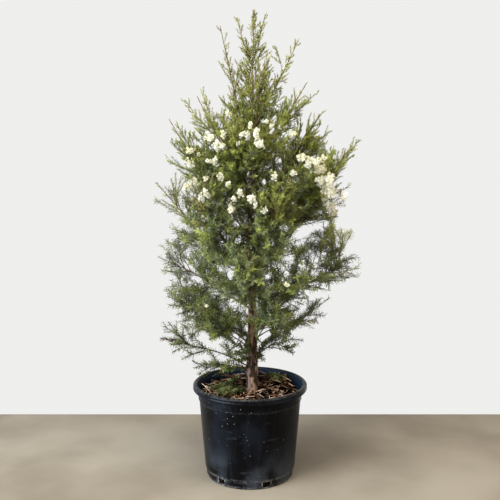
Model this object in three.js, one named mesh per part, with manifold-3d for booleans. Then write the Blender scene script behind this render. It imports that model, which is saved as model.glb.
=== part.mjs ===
// A young flax-leaved paperbark, a narrow upright evergreen tree, growing in a black 400 mm nursery pot.
// Millimetres, +Z up. The origin is the centre of the pot's flat underside, and -Y is the tree's front.
// Bearings are in degrees from +X towards +Y: 0 is right, 90 is the back, 180 is left, 270 is the front.

import * as THREE from "three";
import { mergeVertices } from "three/addons/utils/BufferGeometryUtils.js";
import Module from "manifold-3d";

const wasm = await Module();
wasm.setup();

const UP = new THREE.Vector3(0, 0, 1);
const TURN = 2 * Math.PI;
const GOLDEN_TURN = TURN * (1 - 2 / (1 + Math.sqrt(5)));
const FIT_GAP = 0.3; // between a piece and the one that carries it

// Pot sizes
const POT_HEIGHT = 338;
const RIM_RADIUS = 207.5;
const MOUTH_RADIUS = 191;
const RIM_DEPTH = 22;
const NECK_RADIUS = 187.5;
const NECK_FOOT = 282; // the plain band under the rim ends here in a small step
const WALL_TOP_RADIUS = 184;
const WALL_FOOT_RADIUS = 163.5;
const WALL_FOOT = 30; // below it the wall stands back, and holds the drain holes
const FOOT_RADIUS = 157;
const WALL = 3.5;
const POT_SIDES = 32;
const DRAIN = { count: 6, first: 51, width: 28, low: 5, high: 26, depth: 24 };
const RIM_GROOVE = 3; // how deep the rim is drawn in between its two rolls, and at their edges

// Potting mix and bark mulch
const MULCH_TOP = 292;
const MIX_RINGS = [42, 104];
const MIX_SIDES = 16;
const MIX_CLEARANCE = 1.2; // between the mix and the pot's wall
const HEAP = 6; // how far the mulch rises and falls
const CHIPS = { count: 26, from: 64, to: 146, length: [26, 54], width: [7, 13], depth: [4, 6] };

// Trunk: height, x, y and radius of its centre line, from the cut at the mulch up to the tip
const TRUNK = [
  [MULCH_TOP + FIT_GAP, 8, 0, 25],
  [306, 8, 0, 21.5],
  [345, 8, 0, 20],
  [400, 8, 0, 19.2],
  [490, 7, 0, 16.9],
  [620, 7, 2, 14],
  [740, 1, 4, 12],
  [830, -7, 2, 9],
  [890, -3, 0, 7.4],
  [1040, 1, 0, 5.4],
  [1200, 5, 0, 4.2],
  [1395, 10, 0, 2.8],
];
const TRUNK_SIDES = 9;
const LONGEST_TRUNK_STEP = 80;
const FLARE = { height: 16, lobes: 5, depth: 0.12 }; // the roots' lobes at the trunk's foot
const FLUTES = { count: 3, depth: 0.05, climb: 90 };

// Limbs, storey by storey. Each limb is [height on the trunk, bearing of its tip, the tip's distance from the
// pot's centre line, the tip's height, arch], where arch is how far its middle stands above the straight line,
// as a share of its length. bough is the bare share of a limb, and 0 puts the foliage straight on the trunk.
// shoots is how many side shoots a mass of foliage has, fan is the length of its lowest ones, and leaf is the
// length of a leaf, each of which stands for the few small ones that grow together there.
const STOREYS = [
  {
    name: "skirt",
    bough: 0.3,
    shoots: 8,
    fan: 130,
    leaf: 50,
    limbs: [
      [388, 181, 322, 500, 0.1],
      [372, 200, 196, 384, 0.34],
      [424, 357, 158, 446, 0.5],
      [402, 118, 250, 470, 0.16],
      [414, 240, 190, 430, 0.26],
      [396, 62, 236, 462, 0.2],
    ],
  },
  {
    name: "low",
    bough: 0.26,
    shoots: 9,
    fan: 150,
    leaf: 56,
    limbs: [
      [474, 172, 304, 646, 0.08],
      [486, 352, 268, 590, 0.2],
      [508, 298, 248, 606, 0.16],
      [458, 228, 258, 578, 0.12],
      [468, 55, 280, 610, 0.12],
    ],
  },
  {
    name: "middle",
    bough: 0.24,
    shoots: 9,
    fan: 160,
    leaf: 58,
    limbs: [
      [604, 186, 322, 800, 0.04],
      [548, 2, 374, 804, 0.04],
      [622, 262, 262, 790, 0.08],
      [590, 100, 300, 810, 0.06],
      [576, 318, 280, 752, 0.12],
    ],
  },
  {
    name: "bloom",
    bough: 0.22,
    shoots: 8,
    fan: 160,
    leaf: 58,
    limbs: [
      [706, 176, 334, 1058, -0.04],
      [690, 3, 354, 1184, -0.03],
      [724, 290, 270, 1000, 0.02],
      [748, 228, 280, 1010, 0.02],
      [700, 72, 300, 1020, 0],
    ],
  },
  {
    name: "upper",
    bough: 0.22,
    shoots: 7,
    fan: 140,
    leaf: 54,
    limbs: [
      [872, 174, 286, 1280, -0.05],
      [850, 350, 300, 1112, -0.02],
      [930, 8, 254, 1300, -0.06],
    ],
  },
  {
    name: "crown",
    bough: 0,
    shoots: 5,
    fan: 118,
    leaf: 48,
    limbs: [
      [860, 122, 250, 1200, -0.03],
      [900, 262, 214, 1262, -0.04],
      [1010, 205, 196, 1350, -0.05],
      [1050, 80, 170, 1370, -0.05],
      [1120, 352, 196, 1400, -0.06],
      [1150, 186, 102, 1590, -0.08],
      [1190, 300, 100, 1470, -0.06],
      [1236, 6, 170, 1554, -0.05],
    ],
  },
];
const LEADER = { tip: [12, 0, 1648], shoots: 6, fan: 96, leaf: 40 };

// Twigs and leaves
const LEAF_SPREAD = 0.72; // radians between a leaf and its twig
const LEAF_STEP = 0.42; // from one whorl of leaves to the next, as a share of a leaf's length
const LAST_LEAF = 0.45; // the length of the leaves at a shoot's tip, as a share of the others
const BARE_FOOT = 24; // of a side shoot
const SHOOT_LEAN = [1.1, 0.65]; // radians between a side shoot and its stem, from the stem's foot to its tip
const SHOOT_SIZE = [1.1, 0.55]; // a side shoot's length as a share of the fan, from the stem's foot to its tip
const SHOOT_PAST_STEM = 16; // how much further than its stem's tip a side shoot may reach
const SHOOT_LIFT = 0.12; // how far its tip turns up, as a share of its length
const SHOOT_ARCH = -0.04;
const TRUNK_BORNE_FROM = 0.1; // the share of a mass straight on the trunk that carries no side shoots
const TWIG_RADIUS = 1.7;
const TIP_RADIUS = 0.9;
const STEM_RADIUS = 2.5;
const BOUGH_SIDES = 4;
const BOUGH_FOOT = { radius: 2.4, growth: 0.004 }; // a bough's foot is thicker the longer its limb
const CLEAR_OF_NEIGHBOUR = 3;
const CLEAR_OF_TRUNK = 3;
const LOWEST_LEAF = POT_HEIGHT + 8;
const LONGEST_FACE = 110;

// Blossom: white spikes, [bearing, distance out, height], as the front shows them, then more round the rest
const BLOSSOMS = [
  [269, 226, 1215],
  [287, 213, 1244],
  [310, 225, 1217],
  [243, 241, 1150],
  [215, 240, 1169],
  [237, 264, 1021],
  [251, 260, 1062],
  [268, 267, 1000],
  [287, 259, 1085],
  [298, 255, 1110],
  [321, 248, 1140],
  [331, 256, 1100],
  [342, 261, 1070],
  [348, 270, 1000],
];
const MORE_BLOSSOMS = { count: 10, from: 15, to: 200, low: 940, high: 1260, out: 262 };
const BLOSSOM_TWIG = 70;
const BLOSSOM_STEP = 10;
const BLOSSOM_RINGS = 3;
const BLOSSOM_CORE = 7;
const BLOSSOM_RADIUS = 14;

/** Repeatable draws from 0 to 1 by a linear congruential series. */
function seededDraws(seed) {
  let state = seed >>> 0;
  return () => {
    state = (Math.imul(state, 1664525) + 1013904223) >>> 0;
    return state / 4294967296;
  };
}

/** The value at a share of the way between two. */
function between([low, high], share) {
  return low + (high - low) * share;
}

/** A three.js geometry as a manifold solid. */
function solidOf(geometry) {
  const bare = geometry.index ? geometry.toNonIndexed() : geometry.clone();
  bare.deleteAttribute("normal");
  bare.deleteAttribute("uv");
  const merged = mergeVertices(bare, 1e-3);
  return new wasm.Manifold(
    new wasm.Mesh({
      numProp: 3,
      vertProperties: merged.attributes.position.array,
      triVerts: new Uint32Array(merged.index.array),
    }),
  );
}

/** A manifold solid as a three.js geometry, without any sealed hollow or loose scrap that joining left. */
function geometryOf(solid) {
  const bodies = solid.decompose();
  const largest = bodies.reduce((best, body) => (body.volume() > best.volume() ? body : best));
  const mesh = largest.getMesh();
  const geometry = new THREE.BufferGeometry();
  geometry.setAttribute("position", new THREE.BufferAttribute(new Float32Array(mesh.vertProperties), 3));
  geometry.setIndex(new THREE.BufferAttribute(new Uint32Array(mesh.triVerts), 1));
  const flat = geometry.toNonIndexed();
  flat.computeVertexNormals();
  return flat;
}

/** Corner rings joined into a closed skin with flat ends. Each ring has the same number of corners. */
function skin(rings) {
  const sides = rings[0].length;
  const faces = [];
  for (let i = 1; i < sides - 1; i++) faces.push(0, i + 1, i);
  for (let k = 0; k < rings.length - 1; k++) {
    for (let i = 0; i < sides; i++) {
      const [near, next] = [k * sides + i, k * sides + ((i + 1) % sides)];
      faces.push(near, next, next + sides, near, next + sides, near + sides);
    }
  }
  const last = (rings.length - 1) * sides;
  for (let i = 1; i < sides - 1; i++) faces.push(last, last + i, last + i + 1);
  return geometryFrom(rings.flat(), faces);
}

/** A geometry from its corners and the faces between them. */
function geometryFrom(points, faces) {
  const positions = points.flatMap((point) => point.toArray());
  const geometry = new THREE.BufferGeometry();
  geometry.setAttribute("position", new THREE.BufferAttribute(new Float32Array(positions), 3));
  geometry.setIndex(faces);
  return geometry;
}

/** The heading of a curve at t, for a quadratic curve with end points v0 and v2 and control point v1. */
function headingAt(curve, t) {
  const start = curve.v1.clone().sub(curve.v0).multiplyScalar(1 - t);
  return curve.v2.clone().sub(curve.v1).multiplyScalar(t).add(start).normalize();
}

/** Two directions square to a heading: one level, the other leaning up. */
function crossways(heading) {
  const level = new THREE.Vector3().crossVectors(UP, heading);
  if (level.lengthSq() < 1e-6) level.set(1, 0, 0);
  level.normalize();
  return [level, new THREE.Vector3().crossVectors(heading, level).normalize()];
}

/** A curve from start to tip whose middle stands above the straight line by arch times its length. */
function archedCurve(start, tip, arch) {
  const middle = start.clone().lerp(tip, 0.5);
  middle.z += arch * start.distanceTo(tip);
  return new THREE.QuadraticBezierCurve3(start, middle, tip);
}

/** A limb's bough: it tapers along the limb's curve from the trunk to where the foliage starts. */
function boughGeometry(limb) {
  const foot = BOUGH_FOOT.radius + BOUGH_FOOT.growth * limb.length;
  const rings = [0, 1 / 3, 2 / 3, 1].map((share) => {
    const t = limb.bough * share;
    const centre = limb.curve.getPoint(t);
    const [level, rise] = crossways(headingAt(limb.curve, t));
    const radius = between([foot, STEM_RADIUS], share);
    return Array.from({ length: BOUGH_SIDES }, (_, i) => {
      const turn = (TURN * i) / BOUGH_SIDES;
      const side = level.clone().multiplyScalar(Math.cos(turn)).addScaledVector(rise, Math.sin(turn));
      return centre.clone().addScaledVector(side, radius);
    });
  });
  return skin(rings);
}

/** Where the trunk's centre line is at a height, and its radius there. */
function trunkAt(z) {
  const height = Math.min(Math.max(z, TRUNK[0][0]), TRUNK.at(-1)[0]);
  const above = TRUNK.findIndex((station, i) => i && station[0] >= height);
  const [low, high] = [TRUNK[above - 1], TRUNK[above]];
  const share = (height - low[0]) / (high[0] - low[0]);
  const eased = share * share * (3 - 2 * share);
  return {
    centre: new THREE.Vector3(between([low[1], high[1]], eased), between([low[2], high[2]], eased), height),
    radius: between([low[3], high[3]], share),
  };
}

/** The trunk's skin, fluted, with root flare at its foot. grow makes it thicker, to cut what meets it. */
function trunkGeometry(grow = 0) {
  const heights = TRUNK.map((station) => station[0]);
  const levels = heights.flatMap((height, i) =>
    i && height - heights[i - 1] > LONGEST_TRUNK_STEP ? [(height + heights[i - 1]) / 2, height] : [height],
  );
  const rings = levels.map((z) => {
    const { centre, radius } = trunkAt(z);
    const flare = FLARE.depth * Math.exp(-(z - heights[0]) / FLARE.height);
    return Array.from({ length: TRUNK_SIDES }, (_, i) => {
      const turn = (TURN * i) / TRUNK_SIDES;
      const flute = FLUTES.depth * Math.cos(FLUTES.count * turn + z / FLUTES.climb);
      const reach = radius * (1 + flute + flare * Math.cos(FLARE.lobes * turn + 1)) + grow;
      return new THREE.Vector3(Math.cos(turn) * reach, Math.sin(turn) * reach, 0).add(centre);
    });
  });
  if (grow) {
    rings[0].forEach((corner) => (corner.z -= grow));
    rings.at(-1).forEach((corner) => (corner.z += grow));
  }
  return skin(rings);
}

/** The pot: one lathe-turned shell, with drain holes cut through its foot. */
function potSolid() {
  const inner = (radius) => radius - WALL;
  const profile = [
    [0, 0],
    [FOOT_RADIUS - 2, 0],
    [FOOT_RADIUS + 1, 4],
    [WALL_FOOT_RADIUS - 2.5, WALL_FOOT - 3],
    [WALL_FOOT_RADIUS, WALL_FOOT],
    [WALL_TOP_RADIUS, NECK_FOOT - 3],
    [NECK_RADIUS, NECK_FOOT],
    [NECK_RADIUS, POT_HEIGHT - RIM_DEPTH - 1],
    [RIM_RADIUS - RIM_GROOVE, POT_HEIGHT - RIM_DEPTH],
    [RIM_RADIUS, POT_HEIGHT - RIM_DEPTH + 5],
    [RIM_RADIUS - RIM_GROOVE, POT_HEIGHT - RIM_DEPTH / 2],
    [RIM_RADIUS - 2, POT_HEIGHT - 5],
    [RIM_RADIUS - 7, POT_HEIGHT],
    [MOUTH_RADIUS + 4, POT_HEIGHT],
    [MOUTH_RADIUS, POT_HEIGHT - 4],
    [inner(NECK_RADIUS), POT_HEIGHT - RIM_DEPTH],
    [inner(WALL_TOP_RADIUS), NECK_FOOT - 4],
    [inner(WALL_FOOT_RADIUS), WALL_FOOT],
    [inner(FOOT_RADIUS + 1), WALL],
    [0, WALL],
  ].map(([radius, z]) => new THREE.Vector2(radius, z));
  const shell = new THREE.LatheGeometry(profile, POT_SIDES).rotateX(Math.PI / 2);
  const holes = Array.from({ length: DRAIN.count }, (_, i) => {
    const bearing = THREE.MathUtils.degToRad(DRAIN.first) + (TURN * i) / DRAIN.count;
    const hole = new THREE.BoxGeometry(DRAIN.depth, DRAIN.width, DRAIN.high - DRAIN.low);
    hole.translate(FOOT_RADIUS, 0, (DRAIN.high + DRAIN.low) / 2).rotateZ(bearing);
    return solidOf(hole);
  });
  return wasm.Manifold.difference([solidOf(shell), ...holes]);
}

/** The mulch's height at a place: level round the trunk, then gently heaped, and lower against the wall. */
function mulchHeight(x, y) {
  const radius = Math.hypot(x, y);
  const heap = Math.sin(x / 31) * Math.cos(y / 37 + 1) + 0.4 * Math.sin((x + y) / 19);
  const away = THREE.MathUtils.smoothstep(radius, MIX_RINGS[0] + 1, 90);
  const wall = THREE.MathUtils.smoothstep(radius, 120, 176);
  return MULCH_TOP + HEAP * (away * heap - 0.8 * wall);
}

/** The potting mix, filling the pot, with chips of bark mulch sunk into its top. */
function mixSolid() {
  const draw = seededDraws(11);
  const wallAt = (z) => {
    const share = (z - WALL_FOOT) / (NECK_FOOT - 3 - WALL_FOOT);
    return between([WALL_FOOT_RADIUS, WALL_TOP_RADIUS], share) - WALL - MIX_CLEARANCE;
  };
  const ring = (radius, height) =>
    Array.from({ length: MIX_SIDES }, (_, i) => {
      const turn = (TURN * i) / MIX_SIDES;
      const [x, y] = [Math.cos(turn) * radius, Math.sin(turn) * radius];
      return new THREE.Vector3(x, y, height ?? mulchHeight(x, y));
    });
  const brim = wallAt(NECK_FOOT - 4);
  const rings = [
    ring(FOOT_RADIUS - WALL - 1.5, WALL + FIT_GAP),
    ring(wallAt(WALL_FOOT + 2), WALL_FOOT + 2),
    ring(brim, NECK_FOOT - 8),
    ring(brim - 1),
    ...MIX_RINGS.toReversed().map((radius) => ring(radius)),
  ];
  const chips = Array.from({ length: CHIPS.count }, (_, i) => {
    const out = between([CHIPS.from, CHIPS.to], Math.sqrt((i + 0.5) / CHIPS.count));
    const bearing = i * GOLDEN_TURN;
    const [x, y] = [Math.cos(bearing) * out, Math.sin(bearing) * out];
    const [length, width, depth] = [CHIPS.length, CHIPS.width, CHIPS.depth].map((sizes) => between(sizes, draw()));
    const chip = new THREE.CylinderGeometry(depth * 0.6, depth, length, 3).rotateZ(Math.PI / 2);
    chip.scale(1, width / depth / 2, 1);
    chip.rotateX(TURN * draw()).rotateY((draw() - 0.5) * 0.5);
    chip.rotateZ(bearing + Math.PI / 2 + (draw() - 0.5) * 2.2);
    chip.translate(x, y, mulchHeight(x, y) + 1);
    return solidOf(chip);
  });
  return wasm.Manifold.union([solidOf(skin(rings)), ...chips]);
}

/** Every limb of the tree as a plan: its name, curve, where its bough ends, and the sizes of its foliage. */
function planLimbs() {
  const limbs = STOREYS.flatMap((storey) =>
    storey.limbs.map(([from, bearing, out, top, arch], i) => {
      const turn = THREE.MathUtils.degToRad(bearing);
      const tip = new THREE.Vector3(Math.cos(turn) * out, Math.sin(turn) * out, top);
      const curve = archedCurve(trunkAt(from).centre, tip, arch);
      return { ...storey, name: `${storey.name}_${i + 1}`, curve, length: curve.getLength() };
    }),
  );
  const top = trunkAt(TRUNK.at(-1)[0]).centre;
  const curve = archedCurve(top, new THREE.Vector3(...LEADER.tip), 0);
  return [...limbs, { ...LEADER, name: "leader", bough: 0, curve, length: curve.getLength() }];
}

const LINE_STEPS = 12;
const limbs = planLimbs();
limbs.forEach((limb) => (limb.line = limb.curve.getPoints(LINE_STEPS)));

/** Every blossom's place: those that the front shows, then the others, spread by the golden share. */
function planBlossoms() {
  const { count, from, to, low, high, out } = MORE_BLOSSOMS;
  const others = Array.from({ length: count }, (_, i) => {
    const share = (i * GOLDEN_TURN) / TURN;
    return [between([from, to], (i + 0.5) / count), out - 30 * (share % 1), between([low, high], share % 1)];
  });
  return [...BLOSSOMS, ...others].map(([bearing, out, z]) => {
    const turn = THREE.MathUtils.degToRad(bearing);
    return new THREE.Vector3(Math.cos(turn) * out, Math.sin(turn) * out, z);
  });
}

const blossoms = planBlossoms();

/** The distance from a point to a line of points. */
function distanceTo(line, point) {
  let nearest = Infinity;
  const segment = new THREE.Line3();
  const foot = new THREE.Vector3();
  for (let i = 1; i < line.length; i++) {
    segment.set(line[i - 1], line[i]).closestPointToPoint(point, true, foot);
    nearest = Math.min(nearest, foot.distanceTo(point));
  }
  return nearest;
}

/** Whether a point is in a limb's own space: nearest to its line, and clear of the trunk and the pot. */
function inOwnSpace(limb, point) {
  if (point.z < LOWEST_LEAF) return false;
  const trunk = trunkAt(point.z);
  const fromTrunk = Math.hypot(point.x - trunk.centre.x, point.y - trunk.centre.y);
  if (point.z < TRUNK.at(-1)[0] + 2 && fromTrunk < trunk.radius * 1.1 + CLEAR_OF_TRUNK) return false;
  const own = distanceTo(limb.line, point) + 2 * CLEAR_OF_NEIGHBOUR;
  return limbs.every((other) => other === limb || distanceTo(other.line, point) > own);
}

/** The blossoms that stand in a limb's own space. */
function blossomsOf(limb) {
  return blossoms.filter((place) => inOwnSpace(limb, place));
}

/** Whether a straight line between two points passes through a triangle. */
function pierces(from, to, [a, b, c]) {
  const ray = new THREE.Ray(from, to.clone().sub(from).normalize());
  const hit = ray.intersectTriangle(a, b, c, false, new THREE.Vector3());
  return hit !== null && hit.distanceTo(from) < from.distanceTo(to);
}

/** One mass of foliage as it grows: the corners and faces of its skin. */
class Growth {
  corners = [];
  faces = [];

  /** Adds a corner and gives its number. */
  corner(point) {
    return this.corners.push(point) - 1;
  }

  /** Whether new faces would cross any that are there, apart from those that they share a corner with. */
  crosses(added) {
    const points = (face) => face.map((index) => this.corners[index]);
    const meets = (one, two) => one.some((point, i) => pierces(point, one[(i + 1) % 3], two));
    return added.some((face) => {
      const own = points(face);
      const reach = Math.max(own[0].distanceTo(own[1]), own[0].distanceTo(own[2])) + LONGEST_FACE;
      return this.faces.some((other) => {
        const theirs = points(other);
        if (theirs[0].distanceTo(own[0]) > reach || face.some((index) => other.includes(index))) return false;
        return meets(own, theirs) || meets(theirs, own);
      });
    });
  }

  /** The skin as a geometry. */
  geometry() {
    return geometryFrom(this.corners, this.faces.flat());
  }
}

/** Where the rings of a shoot stand along it, with each ring's radius and the size of its leaves. */
function planRings(limb, shoot, length) {
  const { bareFoot, radius0, radius1, flowers } = shoot;
  const leafy = length - (flowers ? BLOSSOM_STEP * BLOSSOM_RINGS : limb.leaf * 0.2);
  const whorls = Math.max(1, Math.round((leafy - bareFoot) / (limb.leaf * LEAF_STEP)));
  const rings = Array.from({ length: flowers ? whorls : whorls + 1 }, (_, i) => {
    const place = bareFoot + ((leafy - bareFoot) * i) / whorls;
    const leaf = limb.leaf * (1 - (1 - LAST_LEAF) * (flowers ? 0 : place / length) ** 3);
    const core = between([radius0, radius1], place / length);
    return { place, core, reach: leaf * Math.sin(LEAF_SPREAD), ahead: leaf * Math.cos(LEAF_SPREAD) };
  });
  if (!flowers) return rings;
  const blossom = Array.from({ length: BLOSSOM_RINGS }, (_, i) => {
    const bulge = Math.sin((Math.PI * (i + 1)) / (BLOSSOM_RINGS + 1));
    const place = leafy + i * BLOSSOM_STEP;
    return { place, core: BLOSSOM_CORE * bulge, reach: BLOSSOM_RADIUS * bulge, ahead: BLOSSOM_STEP / 2 };
  });
  return [...rings, ...blossom];
}

/**
 * One shoot's twig: it starts from three corners, and its rings of three turn by a sixth from one to the next, so
 * that its sides are triangles. Those that stand on a ring are its buds, where leaves or side shoots come out.
 * Nothing grows if the twig would cross another.
 */
function growTwig(growth, limb, shoot, base) {
  const { curve, t0, spin } = shoot;
  const length = curve.getLength() * (1 - t0);
  const numbers = [base];
  const buds = [];
  const faces = [];
  const kept = growth.corners.length;
  planRings(limb, shoot, length).forEach((ring, k) => {
    const t = t0 + (1 - t0) * (ring.place / length);
    const centre = curve.getPoint(t);
    const heading = headingAt(curve, t);
    const [level, rise] = crossways(heading);
    const side = (turn) => level.clone().multiplyScalar(Math.cos(turn)).addScaledVector(rise, Math.sin(turn));
    const point = (turn, out) => centre.clone().addScaledVector(side(turn), out);
    const turns = [0, 1, 2].map((i) => (TURN * i) / 3 + (TURN * k) / 6 + spin);
    numbers.push(turns.map((turn) => growth.corner(point(turn, ring.core))));
    turns.forEach((turn, i) => {
      const facing = turn + TURN / 6;
      const tip = point(facing, ring.core + ring.reach).addScaledVector(heading, ring.ahead);
      buds.push({ ring: k + 1, side: i, t, outward: side(facing), tip });
    });
  });
  const apex = growth.corner(curve.getPoint(1));
  for (let k = 0; k < numbers.length - 1; k++) {
    for (let i = 0; i < 3; i++) {
      const [next, above, over] = [numbers[k][(i + 1) % 3], numbers[k + 1][(i + 1) % 3], numbers[k + 1][i]];
      faces.push([next, above, over]);
      if (k === 0) faces.push([numbers[0][i], next, over]);
    }
  }
  for (const bud of buds) {
    const ring = numbers[bud.ring];
    const above = numbers[bud.ring + 1];
    bud.face = [ring[bud.side], ring[(bud.side + 1) % 3], above ? above[bud.side] : apex];
    bud.last = !above;
  }
  const budFaces = buds.map((bud) => bud.face);
  if (growth.crosses([...faces, ...budFaces])) {
    growth.corners.length = kept;
    return null;
  }
  growth.faces.push(...faces, ...budFaces);
  return buds;
}

/** Takes the face of a bud away, so that a leaf or a side shoot can come out there. */
function openBud(growth, bud) {
  growth.faces.splice(growth.faces.indexOf(bud.face), 1);
}

/** Draws a bud's face out into a leaf, unless it would leave its own space or cross anything. */
function growLeaf(growth, limb, bud) {
  if (!inOwnSpace(limb, bud.tip)) return;
  const tip = growth.corner(bud.tip);
  const leaf = [0, 1, 2].map((i) => [bud.face[i], bud.face[(i + 1) % 3], tip]);
  if (growth.crosses(leaf)) {
    growth.corners.pop();
    return;
  }
  openBud(growth, bud);
  growth.faces.push(...leaf);
}

/** The free bud of a stem that best suits a side shoot: near its start, and facing its way. */
function nearestBud(buds, limb, shoot) {
  const way = headingAt(shoot.curve, 0);
  const step = (limb.leaf * LEAF_STEP) / limb.length;
  const misfit = (bud) => Math.abs(bud.t - shoot.from) / step - bud.outward.dot(way);
  const free = buds.filter((bud) => !bud.used && !bud.last);
  return free.reduce((best, bud) => (misfit(bud) < misfit(best) ? bud : best));
}

/** How far a side shoot's rings turn, so that the first one meets the bud's corners without a twist. */
function spinOnto(growth, shoot, bud) {
  const [a, b, c] = bud.face.map((index) => growth.corners[index]);
  const outward = a.clone().add(b).divideScalar(2).sub(c);
  const [level, rise] = crossways(headingAt(shoot.curve, 0));
  return Math.atan2(outward.dot(rise), outward.dot(level));
}

/** One mass of foliage: its stem, side shoots out of the stem's buds, then leaves on all the other buds. */
function foliageGeometry(limb, shoots) {
  const growth = new Growth();
  const [stem, ...sides] = shoots;
  const foot = stem.curve.getPoint(stem.t0);
  const [level, rise] = crossways(headingAt(stem.curve, stem.t0));
  const base = [0, 1, 2].map((i) => {
    const turn = (TURN * i) / 3 - TURN / 6 + stem.spin;
    const point = foot.clone().addScaledVector(level, stem.radius0 * Math.cos(turn));
    return growth.corner(point.addScaledVector(rise, stem.radius0 * Math.sin(turn)));
  });
  growth.faces.push([base[0], base[2], base[1]]);
  const stemBuds = growTwig(growth, limb, stem, base);
  const buds = [...stemBuds];
  for (const shoot of sides) {
    const bud = nearestBud(stemBuds, limb, shoot);
    openBud(growth, bud);
    const grown = growTwig(growth, limb, { ...shoot, spin: spinOnto(growth, shoot, bud) }, bud.face);
    if (grown) {
      bud.used = true;
      buds.push(...grown);
    } else growth.faces.push(bud.face);
  }
  buds.filter((bud) => !bud.used).forEach((bud) => growLeaf(growth, limb, bud));
  return growth.geometry();
}

/** A side shoot's curve, cut short where it would leave its own space. Nothing if too little of it is left. */
function fittedShoot(limb, start, tip, arch) {
  const curve = archedCurve(start, tip, arch);
  const shares = [0.25, 0.4, 0.55, 0.7, 0.85, 1];
  const blocked = shares.findIndex((share) => !inOwnSpace(limb, curve.getPoint(share)));
  if (blocked < 0) return curve;
  const kept = blocked ? shares[blocked - 1] : 0;
  if (kept * start.distanceTo(tip) < BARE_FOOT + limb.leaf) return null;
  return archedCurve(start, curve.getPoint(kept), arch * kept);
}

/** The shoots of one mass of foliage: its stem, side shoots that spiral round it, and those that flower. */
function planShoots(limb, draw) {
  const inner = limb.bough || TRUNK_BORNE_FROM;
  const stem = {
    curve: limb.curve,
    t0: limb.bough ? limb.bough + FIT_GAP / limb.length : 0,
    bareFoot: limb.length * (limb.bough ? 0.08 : 0.16),
    radius0: STEM_RADIUS,
    radius1: TIP_RADIUS,
    spin: 0.4,
  };
  const shoots = [stem];
  const side = { t0: 0, bareFoot: BARE_FOOT, radius0: TWIG_RADIUS, radius1: TIP_RADIUS };
  for (let i = 0; i < limb.shoots; i++) {
    const share = (i + 0.2 + 0.6 * draw()) / limb.shoots;
    const t = inner + (0.94 - inner) * (0.05 + 0.9 * share);
    const ahead = headingAt(limb.curve, t);
    const [level, rise] = crossways(ahead);
    const turn = i * GOLDEN_TURN + 0.5 * draw();
    const lean = between(SHOOT_LEAN, share);
    const wanted = limb.fan * between(SHOOT_SIZE, share) * (0.85 + 0.3 * draw());
    const length = Math.min(wanted, limb.length * (1 - t) + SHOOT_PAST_STEM);
    const start = limb.curve.getPoint(t);
    const tip = start
      .clone()
      .addScaledVector(ahead, length * Math.cos(lean))
      .addScaledVector(level, length * Math.sin(lean) * Math.cos(turn))
      .addScaledVector(rise, length * Math.sin(lean) * Math.sin(turn));
    tip.z += SHOOT_LIFT * length;
    const curve = fittedShoot(limb, start, tip, SHOOT_ARCH);
    if (curve) shoots.push({ ...side, curve, from: t });
  }
  for (const target of blossomsOf(limb)) {
    const distances = limb.line.map((point) => point.distanceTo(target));
    const nearest = distances.indexOf(Math.min(...distances)) / LINE_STEPS;
    const t = Math.max(inner + 0.04, nearest - BLOSSOM_TWIG / limb.length);
    const curve = archedCurve(limb.curve.getPoint(t), target, SHOOT_ARCH);
    shoots.push({ ...side, curve, from: t, flowers: true });
  }
  return shoots;
}

const tree = new THREE.Group();
const colours = { pot: 0x1c1f24, mix: 0x4a3222, bark: 0x6b4a34, leaves: 0x5f7040 };

/** Puts a solid into the tree as a named mesh. */
function place(name, solid, color, roughness) {
  const material = new THREE.MeshStandardMaterial({ color, roughness, metalness: 0, flatShading: true });
  const mesh = new THREE.Mesh(geometryOf(solid), material);
  mesh.name = name;
  tree.add(mesh);
}

place("pot", potSolid(), colours.pot, 0.5);
place("potting_mix", mixSolid(), colours.mix, 0.95);
place("trunk", solidOf(trunkGeometry()), colours.bark, 0.9);

const trunkCutter = solidOf(trunkGeometry(FIT_GAP));
const draw = seededDraws(7);
for (const limb of limbs) {
  const bough = limb.bough && solidOf(boughGeometry(limb)).subtract(trunkCutter);
  if (bough) place(`bough_${limb.name}`, bough, colours.bark, 0.9);
  const mass = solidOf(foliageGeometry(limb, planShoots(limb, draw)));
  place(`foliage_${limb.name}`, bough ? mass : mass.subtract(trunkCutter), colours.leaves, 0.8);
}

export default tree;
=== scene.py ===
"""A young flax-leaved paperbark in a black nursery pot. Metres, +Z up, the tree's front towards -Y."""

import math

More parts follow.
